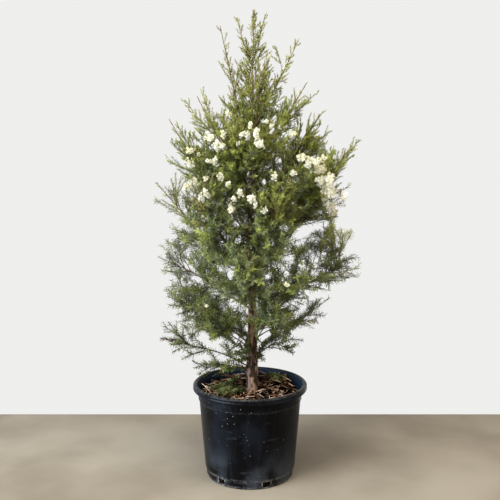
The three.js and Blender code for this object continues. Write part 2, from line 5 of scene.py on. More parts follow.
import bpy
import numpy as np
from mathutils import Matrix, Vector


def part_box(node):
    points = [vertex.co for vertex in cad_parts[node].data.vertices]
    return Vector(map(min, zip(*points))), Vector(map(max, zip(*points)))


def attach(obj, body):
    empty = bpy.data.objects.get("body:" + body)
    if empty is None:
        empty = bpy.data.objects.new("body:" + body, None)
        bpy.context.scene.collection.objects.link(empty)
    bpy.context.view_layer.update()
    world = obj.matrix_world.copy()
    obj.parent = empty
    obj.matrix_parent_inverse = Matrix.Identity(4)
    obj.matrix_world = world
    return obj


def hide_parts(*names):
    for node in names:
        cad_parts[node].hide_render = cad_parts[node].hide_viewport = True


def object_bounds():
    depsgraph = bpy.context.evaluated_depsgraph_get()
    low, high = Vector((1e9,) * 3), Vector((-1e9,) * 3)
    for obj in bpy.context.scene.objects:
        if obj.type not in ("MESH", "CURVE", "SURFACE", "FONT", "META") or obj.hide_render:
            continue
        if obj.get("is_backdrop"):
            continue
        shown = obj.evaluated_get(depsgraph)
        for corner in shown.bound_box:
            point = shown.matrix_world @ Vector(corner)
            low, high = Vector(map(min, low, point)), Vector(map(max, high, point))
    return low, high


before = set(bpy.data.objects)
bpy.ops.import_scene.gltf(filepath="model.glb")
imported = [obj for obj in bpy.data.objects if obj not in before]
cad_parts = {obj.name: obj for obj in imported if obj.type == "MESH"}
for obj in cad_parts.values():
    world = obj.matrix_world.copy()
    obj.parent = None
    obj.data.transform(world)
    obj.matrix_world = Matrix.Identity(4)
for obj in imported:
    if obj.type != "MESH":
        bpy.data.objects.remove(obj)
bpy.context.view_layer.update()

MM = 0.001
TURN = 2 * math.pi


# Camera. A 50 mm lens two and a half metres in front of the tree, at chest height, looking slightly down.
EYE = (0, -2.475, 1.107)
LOOK_DOWN = math.radians(6.6)


def placed(name, data):
    """A new object in the scene, for a mesh, a lamp or a camera."""
    thing = bpy.data.objects.new(name, data)
    bpy.context.scene.collection.objects.link(thing)
    return thing


camera = placed("camera", bpy.data.cameras.new("camera"))
camera.data.lens = 50.4
camera.data.sensor_width = 36
camera.location = EYE
camera.rotation_euler = (math.pi / 2 - LOOK_DOWN, 0, 0)
bpy.context.scene.camera = camera


# The pot. A nominal 400 mm nursery pot moulded in black recycled plastic: a tapered wall under a plain
# neck band, a rim rolled in two lobes, and a foot that stands back and is cut by six drain holes. It is
# used: its wall is scuffed and specked with lime, its foot is dusty, and its edges are worn pale.
POT_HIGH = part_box("pot")[1]
POT_HEIGHT = POT_HIGH.z
RIM_RADIUS = POT_HIGH.x
NECK_RADIUS = 187.5 * MM
NECK_FOOT = 282 * MM
WALL_TOP_RADIUS = 184 * MM
WALL_FOOT_RADIUS = 163.5 * MM
WALL_FOOT = 30 * MM
FOOT_RADIUS = 157 * MM
WALL = 3.5 * MM
HOLE_FIRST = math.radians(51)
HOLE_COUNT = 6
HOLE_HALF = math.asin(14 / 158)
HOLE_LOW, HOLE_HIGH = 5 * MM, 26 * MM
HOLE_QUADS = 4
HOLE_MARGINS = (0.5, 1.2, 2.4)
# A noise's stretch that is the same along all three axes.
EVEN = (1, 1, 1)


class Wire:
    """One output socket of a material's nodes. Python's operators on it add Math nodes."""

    def __init__(self, finish, socket):
        self.finish, self.socket = finish, socket

    def maths(self, operation, first, second):
        return self.finish.node("Math", {"operation": operation}, {0: first, 1: second})

    def __add__(self, other):
        return self.maths("ADD", self, other)

    def __sub__(self, other):
        return self.maths("SUBTRACT", self, other)

    def __rsub__(self, other):
        return self.maths("SUBTRACT", other, self)

    def __mul__(self, other):
        return self.maths("MULTIPLY", self, other)

    __radd__ = __add__
    __rmul__ = __mul__


class Finish:
    """A material round one Principled shader. Its keywords are the shader's own sockets, the same all
    over."""

    def __init__(self, name, **uniform):
        self.material = bpy.data.materials.new(name)
        self.material.use_nodes = True
        self.tree = self.material.node_tree
        self.shader = self.tree.nodes["Principled BSDF"]
        for socket, value in uniform.items():
            self.shader.inputs[socket.replace("_", " ")].default_value = value

    def node(self, kind, settings=None, sockets=None, output=0):
        """Any node: its settings go in first, then the values or links of its sockets."""
        node = self.tree.nodes.new("ShaderNode" + kind)
        for name, value in (settings or {}).items():
            setattr(node, name, value)
        for name, value in (sockets or {}).items():
            self.give(node.inputs[name], value)
        return Wire(self, node.outputs[output])

    def give(self, socket, value):
        """Links a wire to a socket, or sets its value."""
        if isinstance(value, Wire):
            self.tree.links.new(value.socket, socket)
        else:
            socket.default_value = value

    def place(self):
        """Where a point is, in metres."""
        return self.node("TexCoord", output=3)

    def height(self):
        """How high up a point is."""
        return self.node("SeparateXYZ", sockets={0: self.place()}, output=2)

    def grain(self, size, stretch=EVEN, detail=3, kind="TexNoise"):
        """A noise whose spots are about `size` metres across, times `stretch` along each axis."""
        scale = tuple(1 / (size * share) for share in stretch)
        mapped = self.node("Mapping", sockets={"Vector": self.place(), "Scale": scale})
        sockets = {"Vector": mapped, "Scale": 1.0}
        if kind == "TexNoise":
            sockets["Detail"] = detail
        return self.node(kind, sockets=sockets)

    def step(self, value, low, high):
        """0 below low, 1 above high, smooth between."""
        sockets = {"Value": value, "From Min": low, "From Max": high}
        return self.node("MapRange", {"interpolation_type": "SMOOTHSTEP"}, sockets)

    def mark(self, name):
        """A number that the mesh holds for each of its points."""
        return self.node("Attribute", {"attribute_name": name}, output=2)

    def patches(self, low, high, size, *grain):
        """A noise as patches: none where it is below low, full where it is above high."""
        return self.step(self.grain(size, *grain), low, high)

    def mixed(self, share, first, second):
        """The colour at a share of the way between two."""
        first, second = (c if isinstance(c, Wire) else (*c, 1) for c in (first, second))
        return self.node("Mix", {"data_type": "RGBA"}, {0: share, 6: first, 7: second}, output=2)

    def layered(self, colour, *layers):
        """A colour with others laid over it in turn, each by its share."""
        for share, over in layers:
            colour = self.mixed(share, colour, over)
        return colour

    def wear(self, colour, roughness, height, depth):
        """Puts colour, roughness and a bump of `depth` metres onto the shader."""
        bump = self.node("Bump", sockets={"Height": height, "Distance": depth, "Strength": 1.0})
        for name, value in (("Base Color", colour), ("Roughness", roughness), ("Normal", bump)):
            self.give(self.shader.inputs[name], value)


def add_piece(name, points, faces, finish, replaced, marks=None, smooth=True):
    """A mesh from points and a list of arrays of triangles or quads. It rides on the plant, and takes the
    place of the named nodes. `marks` holds a number for each point, which its finish can read."""
    mesh = bpy.data.meshes.new(name)
    mesh.vertices.add(len(points))
    mesh.vertices.foreach_set("co", np.asarray(points, np.float32).ravel())
    corners = np.concatenate([face.ravel() for face in faces]).astype(np.int32)
    sizes = np.concatenate([np.full(len(face), face.shape[1]) for face in faces])
    mesh.loops.add(len(corners))
    mesh.loops.foreach_set("vertex_index", corners)
    mesh.polygons.add(len(sizes))
    mesh.polygons.foreach_set("loop_start", (np.cumsum(sizes) - sizes).astype(np.int32))
    mesh.polygons.foreach_set("use_smooth", np.full(len(sizes), smooth))
    for mark, values in (marks or {}).items():
        layer = mesh.attributes.new(mark, "FLOAT", "POINT")
        layer.data.foreach_set("value", np.asarray(values, np.float32).ravel())
    mesh.update(calc_edges=True)
    mesh.materials.append(finish.material)
    piece = placed(name, mesh)
    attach(piece, "root")
    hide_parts(*replaced)


def grid_faces(rows, columns):
    """Quads between neighbouring rows and columns of a grid of points, the last column joined to the
    first."""
    row, column = np.meshgrid(np.arange(rows - 1), np.arange(columns), indexing="ij")
    here, right = row * columns + column, row * columns + (column + 1) % columns
    return np.stack([here, right, right + columns, here + columns], -1)


def end_fans(rows, columns):
    """Triangles that close the first and the last row of a grid, round the two points that follow the
    grid's own."""
    around = np.arange(columns)
    beside = (around + 1) % columns
    last = (rows - 1) * columns
    centre = np.full(columns, rows * columns)
    return [
        np.stack([centre, beside, around], -1),
        np.stack([centre + 1, last + around, last + beside], -1),
    ]


def rounded(corners, radius, steps=4):
    """A line with each inner corner cut by a quadratic curve that starts and ends `radius` away from it."""
    corners = np.array(corners, float)
    line = [corners[0]]
    for before, corner, after in zip(corners, corners[1:], corners[2:]):
        sides = [before - corner, after - corner]
        cuts = [corner + side * min(radius / np.linalg.norm(side), 0.45) for side in sides]
        for t in np.linspace(0, 1, steps + 1):
            line.append((1 - t) ** 2 * cuts[0] + 2 * t * (1 - t) * corner + t**2 * cuts[1])
    return np.array([*line, corners[-1]])


def turned(profile, bearings):
    """A profile turned round the Z axis: the point (r cos b, r sin b, z) for each (r, z) and bearing b."""
    radius, height = np.asarray(profile).T[:, :, None]
    flat = np.ones_like(bearings)
    return np.stack([radius * np.cos(bearings), radius * np.sin(bearings), height * flat], -1)


def drain_hole_bearings(between_holes=22):
    """Bearings round the pot, closer together at the edges of the drain holes, and how many there are from
    one hole to the next."""
    margin = np.radians(HOLE_MARGINS)
    across = np.linspace(-HOLE_HALF, HOLE_HALF, HOLE_QUADS + 1)
    gap = TURN / HOLE_COUNT - 2 * (HOLE_HALF + margin[-1])
    plain = HOLE_HALF + margin[-1] + gap * np.arange(1, between_holes) / between_holes
    sector = np.concatenate([-HOLE_HALF - margin[::-1], across, HOLE_HALF + margin, plain])
    return (HOLE_FIRST + TURN * np.arange(HOLE_COUNT)[:, None] / HOLE_COUNT + sector).ravel(), len(sector)


def between(ends, share):
    """The value at a share of the way from the first end to the second."""
    return ends[0] + (ends[1] - ends[0]) * share


def with_levels(line, levels):
    """A rising line of (r, z) points, with one point at each level in place of those between the levels."""
    first, last = np.searchsorted(line[:, 1], [levels[0] - 0.3 * MM, levels[-1] + 0.3 * MM])
    radii = np.interp(levels, line[:, 1], line[:, 0])
    return np.concatenate([line[:first], np.stack([radii, levels], -1), line[last:]]), first


def pot_profile(levels):
    """The pot's outline from its base out, up and over the rim, and down inside, and the rows at which the
    holes start on the outer and on the inner wall."""
    wall_ends = (WALL_FOOT_RADIUS, WALL_TOP_RADIUS)
    wall_rise = (WALL_FOOT + 0.5 * MM, NECK_FOOT - 3 * MM)
    wall_shares = (0.04, 0.1, 0.3, 0.6, 0.9, 0.97)
    out = [
        (FOOT_RADIUS - 20 * MM, 0),
        (FOOT_RADIUS - 1.5 * MM, 0),
        (FOOT_RADIUS + 1 * MM, 4 * MM),
        (WALL_FOOT_RADIUS - 2.5 * MM, WALL_FOOT - 3 * MM),
        (WALL_FOOT_RADIUS, WALL_FOOT + 0.5 * MM),
        *((between(wall_ends, share), between(wall_rise, share)) for share in wall_shares),
        (WALL_TOP_RADIUS, NECK_FOOT - 3 * MM),
        (NECK_RADIUS, NECK_FOOT),
        (NECK_RADIUS, NECK_FOOT + 10 * MM),
        (NECK_RADIUS, POT_HEIGHT - 32 * MM),
        (NECK_RADIUS, POT_HEIGHT - 23 * MM),
        (RIM_RADIUS - 3.4 * MM, POT_HEIGHT - 22.5 * MM),
        (RIM_RADIUS - 0.4 * MM, POT_HEIGHT - 17 * MM),
        (RIM_RADIUS - 3 * MM, POT_HEIGHT - 11.5 * MM),
        (RIM_RADIUS - 0.6 * MM, POT_HEIGHT - 6 * MM),
        (RIM_RADIUS - 6 * MM, POT_HEIGHT),
        (RIM_RADIUS - 12.5 * MM, POT_HEIGHT),
        (RIM_RADIUS - 16.5 * MM, POT_HEIGHT - 5 * MM),
        (NECK_RADIUS - WALL, POT_HEIGHT - 22 * MM),
        (WALL_TOP_RADIUS - WALL, NECK_FOOT - 4 * MM),
        (WALL_FOOT_RADIUS - WALL, WALL_FOOT),
        (FOOT_RADIUS + 1 * MM - WALL, WALL),
        (FOOT_RADIUS - 20 * MM, WALL),
    ]
    line = rounded(out, 2.4 * MM)
    top = np.argmax(line[:, 1]) + 1
    outside, first_out = with_levels(line[:top], levels)
    inside, first_in = with_levels(line[top:][::-1], levels)
    after = len(inside) - first_in - len(levels)
    return np.concatenate([outside, inside[::-1]]), first_out, len(outside) + after


def shape_pot():
    """The pot's skin: its profile turned round Z, without the quads at the holes, whose outlines on the
    outer and the inner wall are joined by the holes' edges. Its marks say how worn each point is: most at
    an edge, and less as exp(-distance) from a hole and exp(-distance²) from a ring, and which points are on
    the inner wall, where a blue sheen is painted."""
    levels = np.linspace(HOLE_LOW, HOLE_HIGH, 4)
    gaps = len(levels) - 1
    profile, first_out, first_in = pot_profile(levels)
    bearings, sector = drain_hole_bearings()
    columns = len(bearings)
    place = np.arange(columns) % sector
    hole_start = len(HOLE_MARGINS)
    in_hole = (place >= hole_start) & (place < hole_start + HOLE_QUADS)
    faces = grid_faces(len(profile), columns)
    keep = np.ones(faces.shape[:2], bool)
    for start in (first_out, first_in):
        keep[start : start + gaps] &= ~in_hole
    edges = []
    for k in np.flatnonzero(in_hole):
        for out_row, in_row in ((first_out, first_in + gaps), (first_out + gaps, first_in)):
            out_corner, in_corner = out_row * columns + k, in_row * columns + k
            edges.append([out_corner, out_corner + 1, in_corner + 1, in_corner])
    for k in np.flatnonzero(place == hole_start):
        for j in range(gaps):
            out_row, in_row = first_out + j, first_in + gaps - j
            rows = np.array([out_row, out_row + 1, in_row - 1, in_row])
            edges += [rows * columns + k, rows * columns + k + HOLE_QUADS]
    points = np.concatenate([turned(profile, bearings).reshape(-1, 3), [[0, 0, 0], [0, 0, WALL]]])

    spacing = TURN / HOLE_COUNT
    from_hole = np.abs((bearings - HOLE_FIRST + spacing / 2) % spacing - spacing / 2)
    sideways = np.maximum(from_hole - HOLE_HALF, 0) * FOOT_RADIUS
    upright = np.abs(profile[:, 1:] - (HOLE_LOW + HOLE_HIGH) / 2) - (HOLE_HIGH - HOLE_LOW) / 2
    worn = np.exp(-np.hypot(sideways, np.maximum(upright, 0)) / (3.2 * MM))
    worn_rings = ((WALL_FOOT, 0.3, 4), (NECK_FOOT, 0.07, 3), (4 * MM, 0.35, 3), (POT_HEIGHT, 0.12, 5))
    for height, most, width in worn_rings:
        worn = np.maximum(worn, most * np.exp(-(((profile[:, 1:] - height) / (width * MM)) ** 2)))
    # Which points are on the inner wall: a painted blue sheen goes there, and the wall is rougher there.
    inner = np.repeat(np.arange(len(profile)) > np.argmax(profile[:, 1]) + 6, columns)
    marks = {"worn": np.append(worn, [0, 0]), "inner": np.append(inner, [0, 1])}
    return points, [faces[keep], np.array(edges), *end_fans(len(profile), columns)], marks


pot_finish = Finish("worn_black_plastic", Specular_IOR_Level=0.1)
clouds = pot_finish.grain(90 * MM, (1, 1, 1.4))
dust = pot_finish.step(clouds, 0.4, 0.72)
streaks = pot_finish.patches(0.5, 0.75, 18 * MM, (1, 1, 10), 2)
scuffs = pot_finish.patches(0.63, 0.75, 40 * MM, (1.6, 1.6, 0.4), 5)
low_down = 1 - pot_finish.step(pot_finish.height(), 0.0, 0.17)
spots = pot_finish.grain(16 * MM, kind="TexVoronoi")
specks = (1 - pot_finish.step(spots, 0.07, 0.1)) * pot_finish.patches(0.46, 0.56, 50 * MM)
worn_edge = pot_finish.mark("worn") * pot_finish.patches(0.36, 0.6, 9 * MM)
wall_wear_and_sheen = pot_finish.layered(
    (0.0008, 0.001, 0.0016),
    (dust, (0.004, 0.0056, 0.009)),
    (streaks * 0.3, (0.01, 0.013, 0.018)),
    (low_down * dust * 0.8, (0.043, 0.048, 0.055)),
    (scuffs * 0.22, (0.06, 0.062, 0.062)),
    # Painted reflection: a blue sheen over the inner wall.
    (pot_finish.mark("inner"), (0.003, 0.0105, 0.022)),
    (worn_edge * 0.9, (0.27, 0.26, 0.23)),
    (specks * 0.7, (0.3, 0.3, 0.28)),
)
pot_roughness = 0.26 + dust * 0.16 + streaks * 0.06 + low_down * 0.1 + pot_finish.mark("inner") * 0.3
pot_relief = clouds * 0.6 + streaks * 0.06
pot_finish.wear(wall_wear_and_sheen, pot_roughness, pot_relief, 0.8 * MM)
pot_points, pot_faces, pot_marks = shape_pot()
add_piece("pot_shell", pot_points, pot_faces, pot_finish, ["pot"], pot_marks)


# Potting mix and mulch. The pot is filled with dark potting mix, under a loose layer of shredded pine
# bark: slivers and chips from pale tan to nearly black, thrown every way, with black gaps between them.
# The black gaps are painted shade: the mix's top is nearly black, and so are the chips that lie lowest.
MULCH_TOP = 306 * MM
HEAP = 6 * MM
BACK_HEAP = 10 * MM
MIX_CLEARANCE = 1.2 * MM
CHIP_REACH = 177 * MM
TRUNK_AXIS = np.array([8 * MM, 0])
TRUNK_FOOT = 25 * MM


def smooth_share(value, low, high):
    """0 below low and 1 above high, with 3t² - 2t³ between."""
    share = np.clip((value - low) / (high - low), 0, 1)
    return share * share * (3 - 2 * share)


def lattice(i, j, seed):
    """A repeatable number from 0 to 1 for each pair of whole numbers: the fraction of a large multiple of
    a sine."""
    value = np.sin(i * 127.1 + j * 311.7 + seed * 74.7) * 43758.5453
    return value - np.floor(value)


def rough(u, v, seed, around=None):
    """Value noise from -1 to 1: the lattice's numbers at the four corners round (u, v), blended by 3t² -
    2t³. With `around`, u comes back to its start after that many cells."""
    i, j = np.floor(u), np.floor(v)
    s, t = smooth_share(u - i, 0, 1), smooth_share(v - j, 0, 1)
    wrap = (lambda k: k % around) if around else (lambda k: k)
    low = lattice(wrap(i), j, seed) * (1 - s) + lattice(wrap(i + 1), j, seed) * s
    high = lattice(wrap(i), j + 1, seed) * (1 - s) + lattice(wrap(i + 1), j + 1, seed) * s
    return 2 * (low * (1 - t) + high * t) - 1


def mulch_height(x, y):
    """The frame's own heaps: sines of x and y, level round the trunk and lower against the wall, and a
    bank that rises to the back by 3t² - 2t³."""
    radius = np.hypot(x, y)
    heap = np.sin(x / (31 * MM)) * np.cos(y / (37 * MM) + 1) + 0.4 * np.sin((x + y) / (19 * MM))
    ring = smooth_share(radius, 43 * MM, 90 * MM) * heap - 0.3 * smooth_share(radius, 120 * MM, 176 * MM)
    return MULCH_TOP + HEAP * ring + BACK_HEAP * smooth_share(y, 10 * MM, 130 * MM)


def shape_mix(columns=120, top_rings=34):
    """A closed body: a floor, a side that follows the pot's wall, and a top of rings whose height is
    mulch_height plus two sizes of noise."""
    brim = WALL_TOP_RADIUS - WALL - MIX_CLEARANCE
    side = [
        (FOOT_RADIUS - WALL - 1.5 * MM, WALL + 0.3 * MM),
        (FOOT_RADIUS - WALL - 1.2 * MM, WALL_FOOT - 6 * MM),
        (WALL_FOOT_RADIUS - WALL - MIX_CLEARANCE, WALL_FOOT + 2 * MM),
        (brim, NECK_FOOT - 8 * MM),
        (brim, MULCH_TOP - 12 * MM),
    ]
    bearings = TURN * np.arange(columns) / columns
    lower = turned(side, bearings)
    radii = np.linspace(brim - 1 * MM, 3 * MM, top_rings)
    top = turned(np.stack([radii, radii], -1), bearings)
    x, y = top[..., 0], top[..., 1]
    clods = 3.2 * MM * rough(x / (14 * MM), y / (14 * MM), 3)
    clods = clods + 1.8 * MM * rough(x / (5 * MM), y / (5 * MM), 4)
    away = smooth_share(np.hypot(x - TRUNK_AXIS[0], y), TRUNK_FOOT, 45 * MM)
    top[..., 2] = mulch_height(x, y) - 9 * MM * away + clods * away
    centres = [[0, 0, WALL + 0.3 * MM], [0, 0, MULCH_TOP]]
    points = np.concatenate([lower.reshape(-1, 3), top.reshape(-1, 3), centres])
    rows = len(lower) + top_rings
    return points, [grid_faces(rows, columns).reshape(-1, 4), *end_fans(rows, columns)]


# A chip's four corners across, its three rings' places along it and their sizes, and its faces: the fan
# at its first point, the fan at its last, and two triangles between each pair of corners of one ring and
# the next.
CHIP_RING = np.array([[-1, -0.7], [0.8, -1], [1, 0.75], [-0.75, 1]])
CHIP_STATIONS = np.array([[-0.42, 0.85], [0.05, 1.0], [0.4, 0.7]])
CHIP_FACES = [[0, 2, 1], [0, 3, 2], [0, 4, 3], [0, 1, 4]]
CHIP_FACES += [[13, 9, 10], [13, 10, 11], [13, 11, 12], [13, 12, 9]]
for ring in (1, 5):
    for corner in range(4):
        here, beside = ring + corner, ring + (corner + 1) % 4
        CHIP_FACES += [[here, beside, beside + 4], [here, beside + 4, here + 4]]


def repeated(faces, size, count):
    """The faces of one thing of `size` points, for `count` such things in a row."""
    sides = np.shape(faces)[-1]
    faces = np.reshape(faces, (1, -1, sides)) + size * np.arange(count)[:, None, None]
    return faces.reshape(-1, sides)


def rotated(first, second, angles):
    """Two coordinates of many things, turned in their plane by each thing's angle."""
    cos, sin = np.cos(angles)[:, None], np.sin(angles)[:, None]
    return first * cos - second * sin, first * sin + second * cos


def shape_chips(draws, places, lengths, widths, depths, yaws, pitches, rolls, bends):
    """Splinters: three rings of four corners between two pointed ends, each splinter bent by the square
    of the distance along it, then rolled, pitched and turned, and put in its place."""
    count = len(places)
    stations = CHIP_STATIONS[:, 0] + 0.06 * draws.uniform(-1, 1, (count, 3))
    end = np.full((count, 1), 0.5)
    along = np.concatenate([-end, np.repeat(stations, 4, 1), end], 1)
    girth = CHIP_STATIONS[:, 1] * draws.uniform(0.8, 1.15, (count, 3))
    ring = CHIP_RING[None, None] * girth[:, :, None, None]
    across, upward = (
        np.concatenate([0 * end, ring[..., axis].reshape(count, 12), 0 * end], 1) for axis in (0, 1)
    )
    across += draws.uniform(-0.3, 0.3, (count, 14)) * (np.abs(along) > 0.49)
    x = along * lengths[:, None]
    y = across * widths[:, None] / 2 + bends[:, None] * lengths[:, None] * (4 * along**2 - 0.5)
    z = upward * depths[:, None] / 2
    y, z = rotated(y, z, rolls)
    x, z = rotated(x, z, pitches)
    x, y = rotated(x, y, yaws)
    points = np.stack([x, y, z], -1) + places[:, None]
    return points.reshape(-1, 3), [repeated(CHIP_FACES, 14, count)]


def scatter_chips(seed, count, longest, above):
    """Chips over the mulch by seeded draws: most are short, and none reaches into the pot's wall or the
    trunk."""
    draws = np.random.default_rng(seed)
    lengths = between(longest, draws.random(count) ** 2.2) * MM
    radius = CHIP_REACH * np.sqrt(draws.uniform(0.01, 1, count))
    bearing = draws.uniform(0, TURN, count)
    x, y = radius * np.cos(bearing), radius * np.sin(bearing)
    yaws = draws.uniform(0, TURN, count)
    half = 0.5 * lengths
    ends = [(x + sign * half * np.cos(yaws), y + sign * half * np.sin(yaws)) for sign in (-1, 1)]
    wide = np.maximum(*(np.hypot(*end) for end in ends))
    trunk = np.minimum(*(np.hypot(end[0] - TRUNK_AXIS[0], end[1]) for end in ends))
    trunk = np.minimum(trunk, np.hypot(x - TRUNK_AXIS[0], y))
    inward = 1 - np.maximum(wide - CHIP_REACH, 0) / np.maximum(radius, 1 * MM)
    x, y = x * inward, y * inward
    keep = (inward > 0.6) & (trunk > TRUNK_FOOT)
    pitches = draws.normal(0, 0.26, count)
    height = mulch_height(x, y) + draws.uniform(*above, count) * MM
    height = height + np.abs(np.sin(pitches)) * lengths * 0.35
    sizes = [
        lengths,
        draws.uniform(1.3, 3.6, count) * MM * (0.7 + 0.5 * draws.random(count)),
        draws.uniform(1, 2.8, count) * MM,
        yaws,
        pitches,
        draws.uniform(-0.9, 0.9, count),
        draws.normal(0, 0.035, count),
    ]
    places = np.stack([x, y, height], -1)[keep]
    return shape_chips(draws, places, *(size[keep] for size in sizes))


mix_finish = Finish("potting_mix", Specular_IOR_Level=0.04)
crumbs = mix_finish.grain(4 * MM, detail=6)
fibres = mix_finish.step(crumbs, 0.56, 0.7)
fibrous = mix_finish.mixed(fibres, (0.003, 0.002, 0.0015), (0.22, 0.135, 0.07))
clods = mix_finish.step(crumbs, 0.45, 0.75)
# Painted shade: the mix's top is nearly black so that the gaps between the chips read as shadow; low down
# it keeps its own fibrous brown.
mix_and_gap_shade = mix_finish.mixed(clods, (0.0008, 0.0006, 0.0005), (0.006, 0.004, 0.003))
mix_finish.wear(
    mix_finish.mixed(mix_finish.step(mix_finish.height(), 0.03, 0.05), fibrous, mix_and_gap_shade),
    mix_finish.step(crumbs, 0.2, 0.8) * 0.2 + 0.75,
    crumbs,
    3 * MM,
)
mix_points, mix_faces = shape_mix()
add_piece("potting_mix_body", mix_points, mix_faces, mix_finish, ["potting_mix"])


def wood_finish(name, pale, dark):
    """Split bark: a fine grain of two tones, with darker blotches where it is still damp."""
    finish = Finish(name, Specular_IOR_Level=0.03)
    fibres = finish.grain(2.5 * MM, detail=5)
    blotches = finish.patches(0.35, 0.65, 24 * MM, EVEN, 2)
    deep = tuple(0.35 * channel for channel in dark)
    colour = finish.layered(dark, (finish.step(fibres, 0.32, 0.68), pale), (blotches * 0.55, deep))
    finish.wear(colour, fibres * 0.2 + 0.7, fibres, 1 * MM)
    return finish


# Each kind's seed and number, its shortest and longest chip, how deep and how high in the mulch it lies, in
# millimetres, and its two tones.
CHIP_KINDS = [
    # Painted shade: these nearly black chips lie lowest, in the gaps between the others.
    ("chips_dark", 13, 380, (10, 44), (-7, 1), (0.003, 0.002, 0.0015), (0.001, 0.0007, 0.0005)),
    ("chips_red", 17, 290, (12, 48), (-5, 6), (0.13, 0.05, 0.024), (0.025, 0.01, 0.006)),
    ("chips_tan", 19, 220, (12, 54), (-2, 10), (0.36, 0.205, 0.11), (0.08, 0.042, 0.022)),
    ("chips_pale", 23, 115, (14, 62), (4, 14), (0.8, 0.57, 0.38), (0.3, 0.19, 0.12)),
]
for name, seed, count, longest, above, pale, dark in CHIP_KINDS:
    chip_points, chip_faces = scatter_chips(seed, count, longest, above)
    wood = wood_finish(name, pale, dark)
    add_piece(name, chip_points, chip_faces, wood, ["potting_mix"], smooth=False)


# Trunk and boughs. One straight stem, 43 mm thick over its flared foot, tapers to a wand, and thin boughs
# leave it at steep angles. Its papery bark is brown and flakes in upright strips with dark clefts between
# them, peels to pinkish cream at the foot, and is smoother and more orange where it is young. On the trunk
# the clefts and the lower plates are painted near black as shade, more so at the foot, and the young bark's
# tones are partly painted light, making up for the shade that the foliage casts on the upper trunk.
UP = np.array([0, 0, 1.0])
GOLDEN_TURN = TURN * (1 - 2 / (1 + math.sqrt(5)))

# The trunk's stations: height, how far its centre is to the right and back, and its radius.
TRUNK = MM * np.array([
    [292.3, 8, 0, 25],
    [306, 8, 0, 21.5],
    [345, 8, 0, 20],
    [400, 8, 0, 19.2],
    [490, 7, 0, 16.9],
    [620, 7, 2, 14],
    [740, 1, 4, 12],
    [830, -7, 2, 9],
    [890, -3, 0, 7.4],
    [1040, 1, 0, 5.4],
    [1200, 5, 0, 4.2],
    [1395, 10, 0, 2.8],
])
BOUGH_FOOT = (1.6 * MM, 0.0027)
BOUGH_SWAY = 5 * MM
PEELED_SIDE = math.radians(235)
STEM_RADIUS = 2.5 * MM
TIP_RADIUS = 0.9 * MM

# Storeys of limbs, as in the frame: the bare share of a limb, how many side shoots it carries, the
# longest of them, and the length of the frame's leaves. Then each limb: its height on the trunk, the
# bearing of its tip, the tip's distance out, the tip's height, and its arch.
STOREYS = [
    ("skirt", 0.3, 8, 130, 50, [
        (388, 181, 322, 500, 0.1),
        (372, 200, 196, 384, 0.34),
        (424, 357, 158, 446, 0.5),
        (402, 118, 250, 470, 0.16),
        (414, 240, 190, 430, 0.26),
        (396, 62, 236, 462, 0.2),
    ]),
    ("low", 0.26, 9, 150, 56, [
        (474, 172, 304, 646, 0.08),
        (486, 352, 268, 590, 0.2),
        (508, 298, 248, 606, 0.16),
        (458, 228, 258, 578, 0.12),
        (468, 55, 280, 610, 0.12),
    ]),
    ("middle", 0.24, 9, 160, 58, [
        (604, 186, 322, 800, 0.04),
        (548, 2, 374, 804, 0.04),
        (622, 262, 262, 790, 0.08),
        (590, 100, 300, 810, 0.06),
        (576, 318, 280, 752, 0.12),
    ]),
    ("bloom", 0.22, 8, 160, 58, [
        (706, 176, 334, 1058, -0.04),
        (690, 3, 354, 1184, -0.03),
        (724, 290, 270, 1000, 0.02),
        (748, 228, 280, 1010, 0.02),
        (700, 72, 300, 1020, 0),
    ]),
    ("upper", 0.22, 7, 140, 54, [
        (872, 174, 286, 1280, -0.05),
        (850, 350, 300, 1112, -0.02),
        (930, 8, 254, 1300, -0.06),
    ]),
    ("crown", 0, 5, 118, 48, [
        (860, 122, 250, 1200, -0.03),
        (900, 262, 214, 1262, -0.04),
        (1010, 205, 196, 1350, -0.05),
        (1050, 80, 170, 1370, -0.05),
        (1120, 352, 196, 1400, -0.06),
        (1150, 186, 102, 1590, -0.08),
        (1190, 300, 100, 1470, -0.06),
        (1236, 6, 170, 1554, -0.05),
    ]),
]
LEADER_TIP = MM * np.array([12, 0, 1648])


def unit(vectors):
    """Vectors at length one."""
    lengths = np.linalg.norm(vectors, axis=-1, keepdims=True)
    return vectors / np.maximum(lengths, 1e-12)


def crossways(headings):
    """Two directions square to each heading: one level, the other leaning up."""
    level = unit(np.cross(UP, headings))
    return level, np.cross(headings, level)


def towards(first, second, angle):
    """The direction at an angle from the first one towards the second."""
    return first * np.cos(angle) + second * np.sin(angle)


def trunk_at(heights):
    """The trunk's centre at each height, eased by 3t² - 2t³ between its stations, and its radius, in
    straight tapers."""
    heights = np.clip(heights, TRUNK[0, 0], TRUNK[-1, 0])
    above = np.clip(np.searchsorted(TRUNK[:, 0], heights), 1, len(TRUNK) - 1)
    low, high = TRUNK[above - 1], TRUNK[above]
    share = (heights - low[..., 0]) / (high[..., 0] - low[..., 0])
    eased = (share * share * (3 - 2 * share))[..., None]
    centre = between((low[..., 1:3], high[..., 1:3]), eased)
    radius = between((low[..., 3], high[..., 3]), share)
    return np.concatenate([centre, heights[..., None]], -1), radius


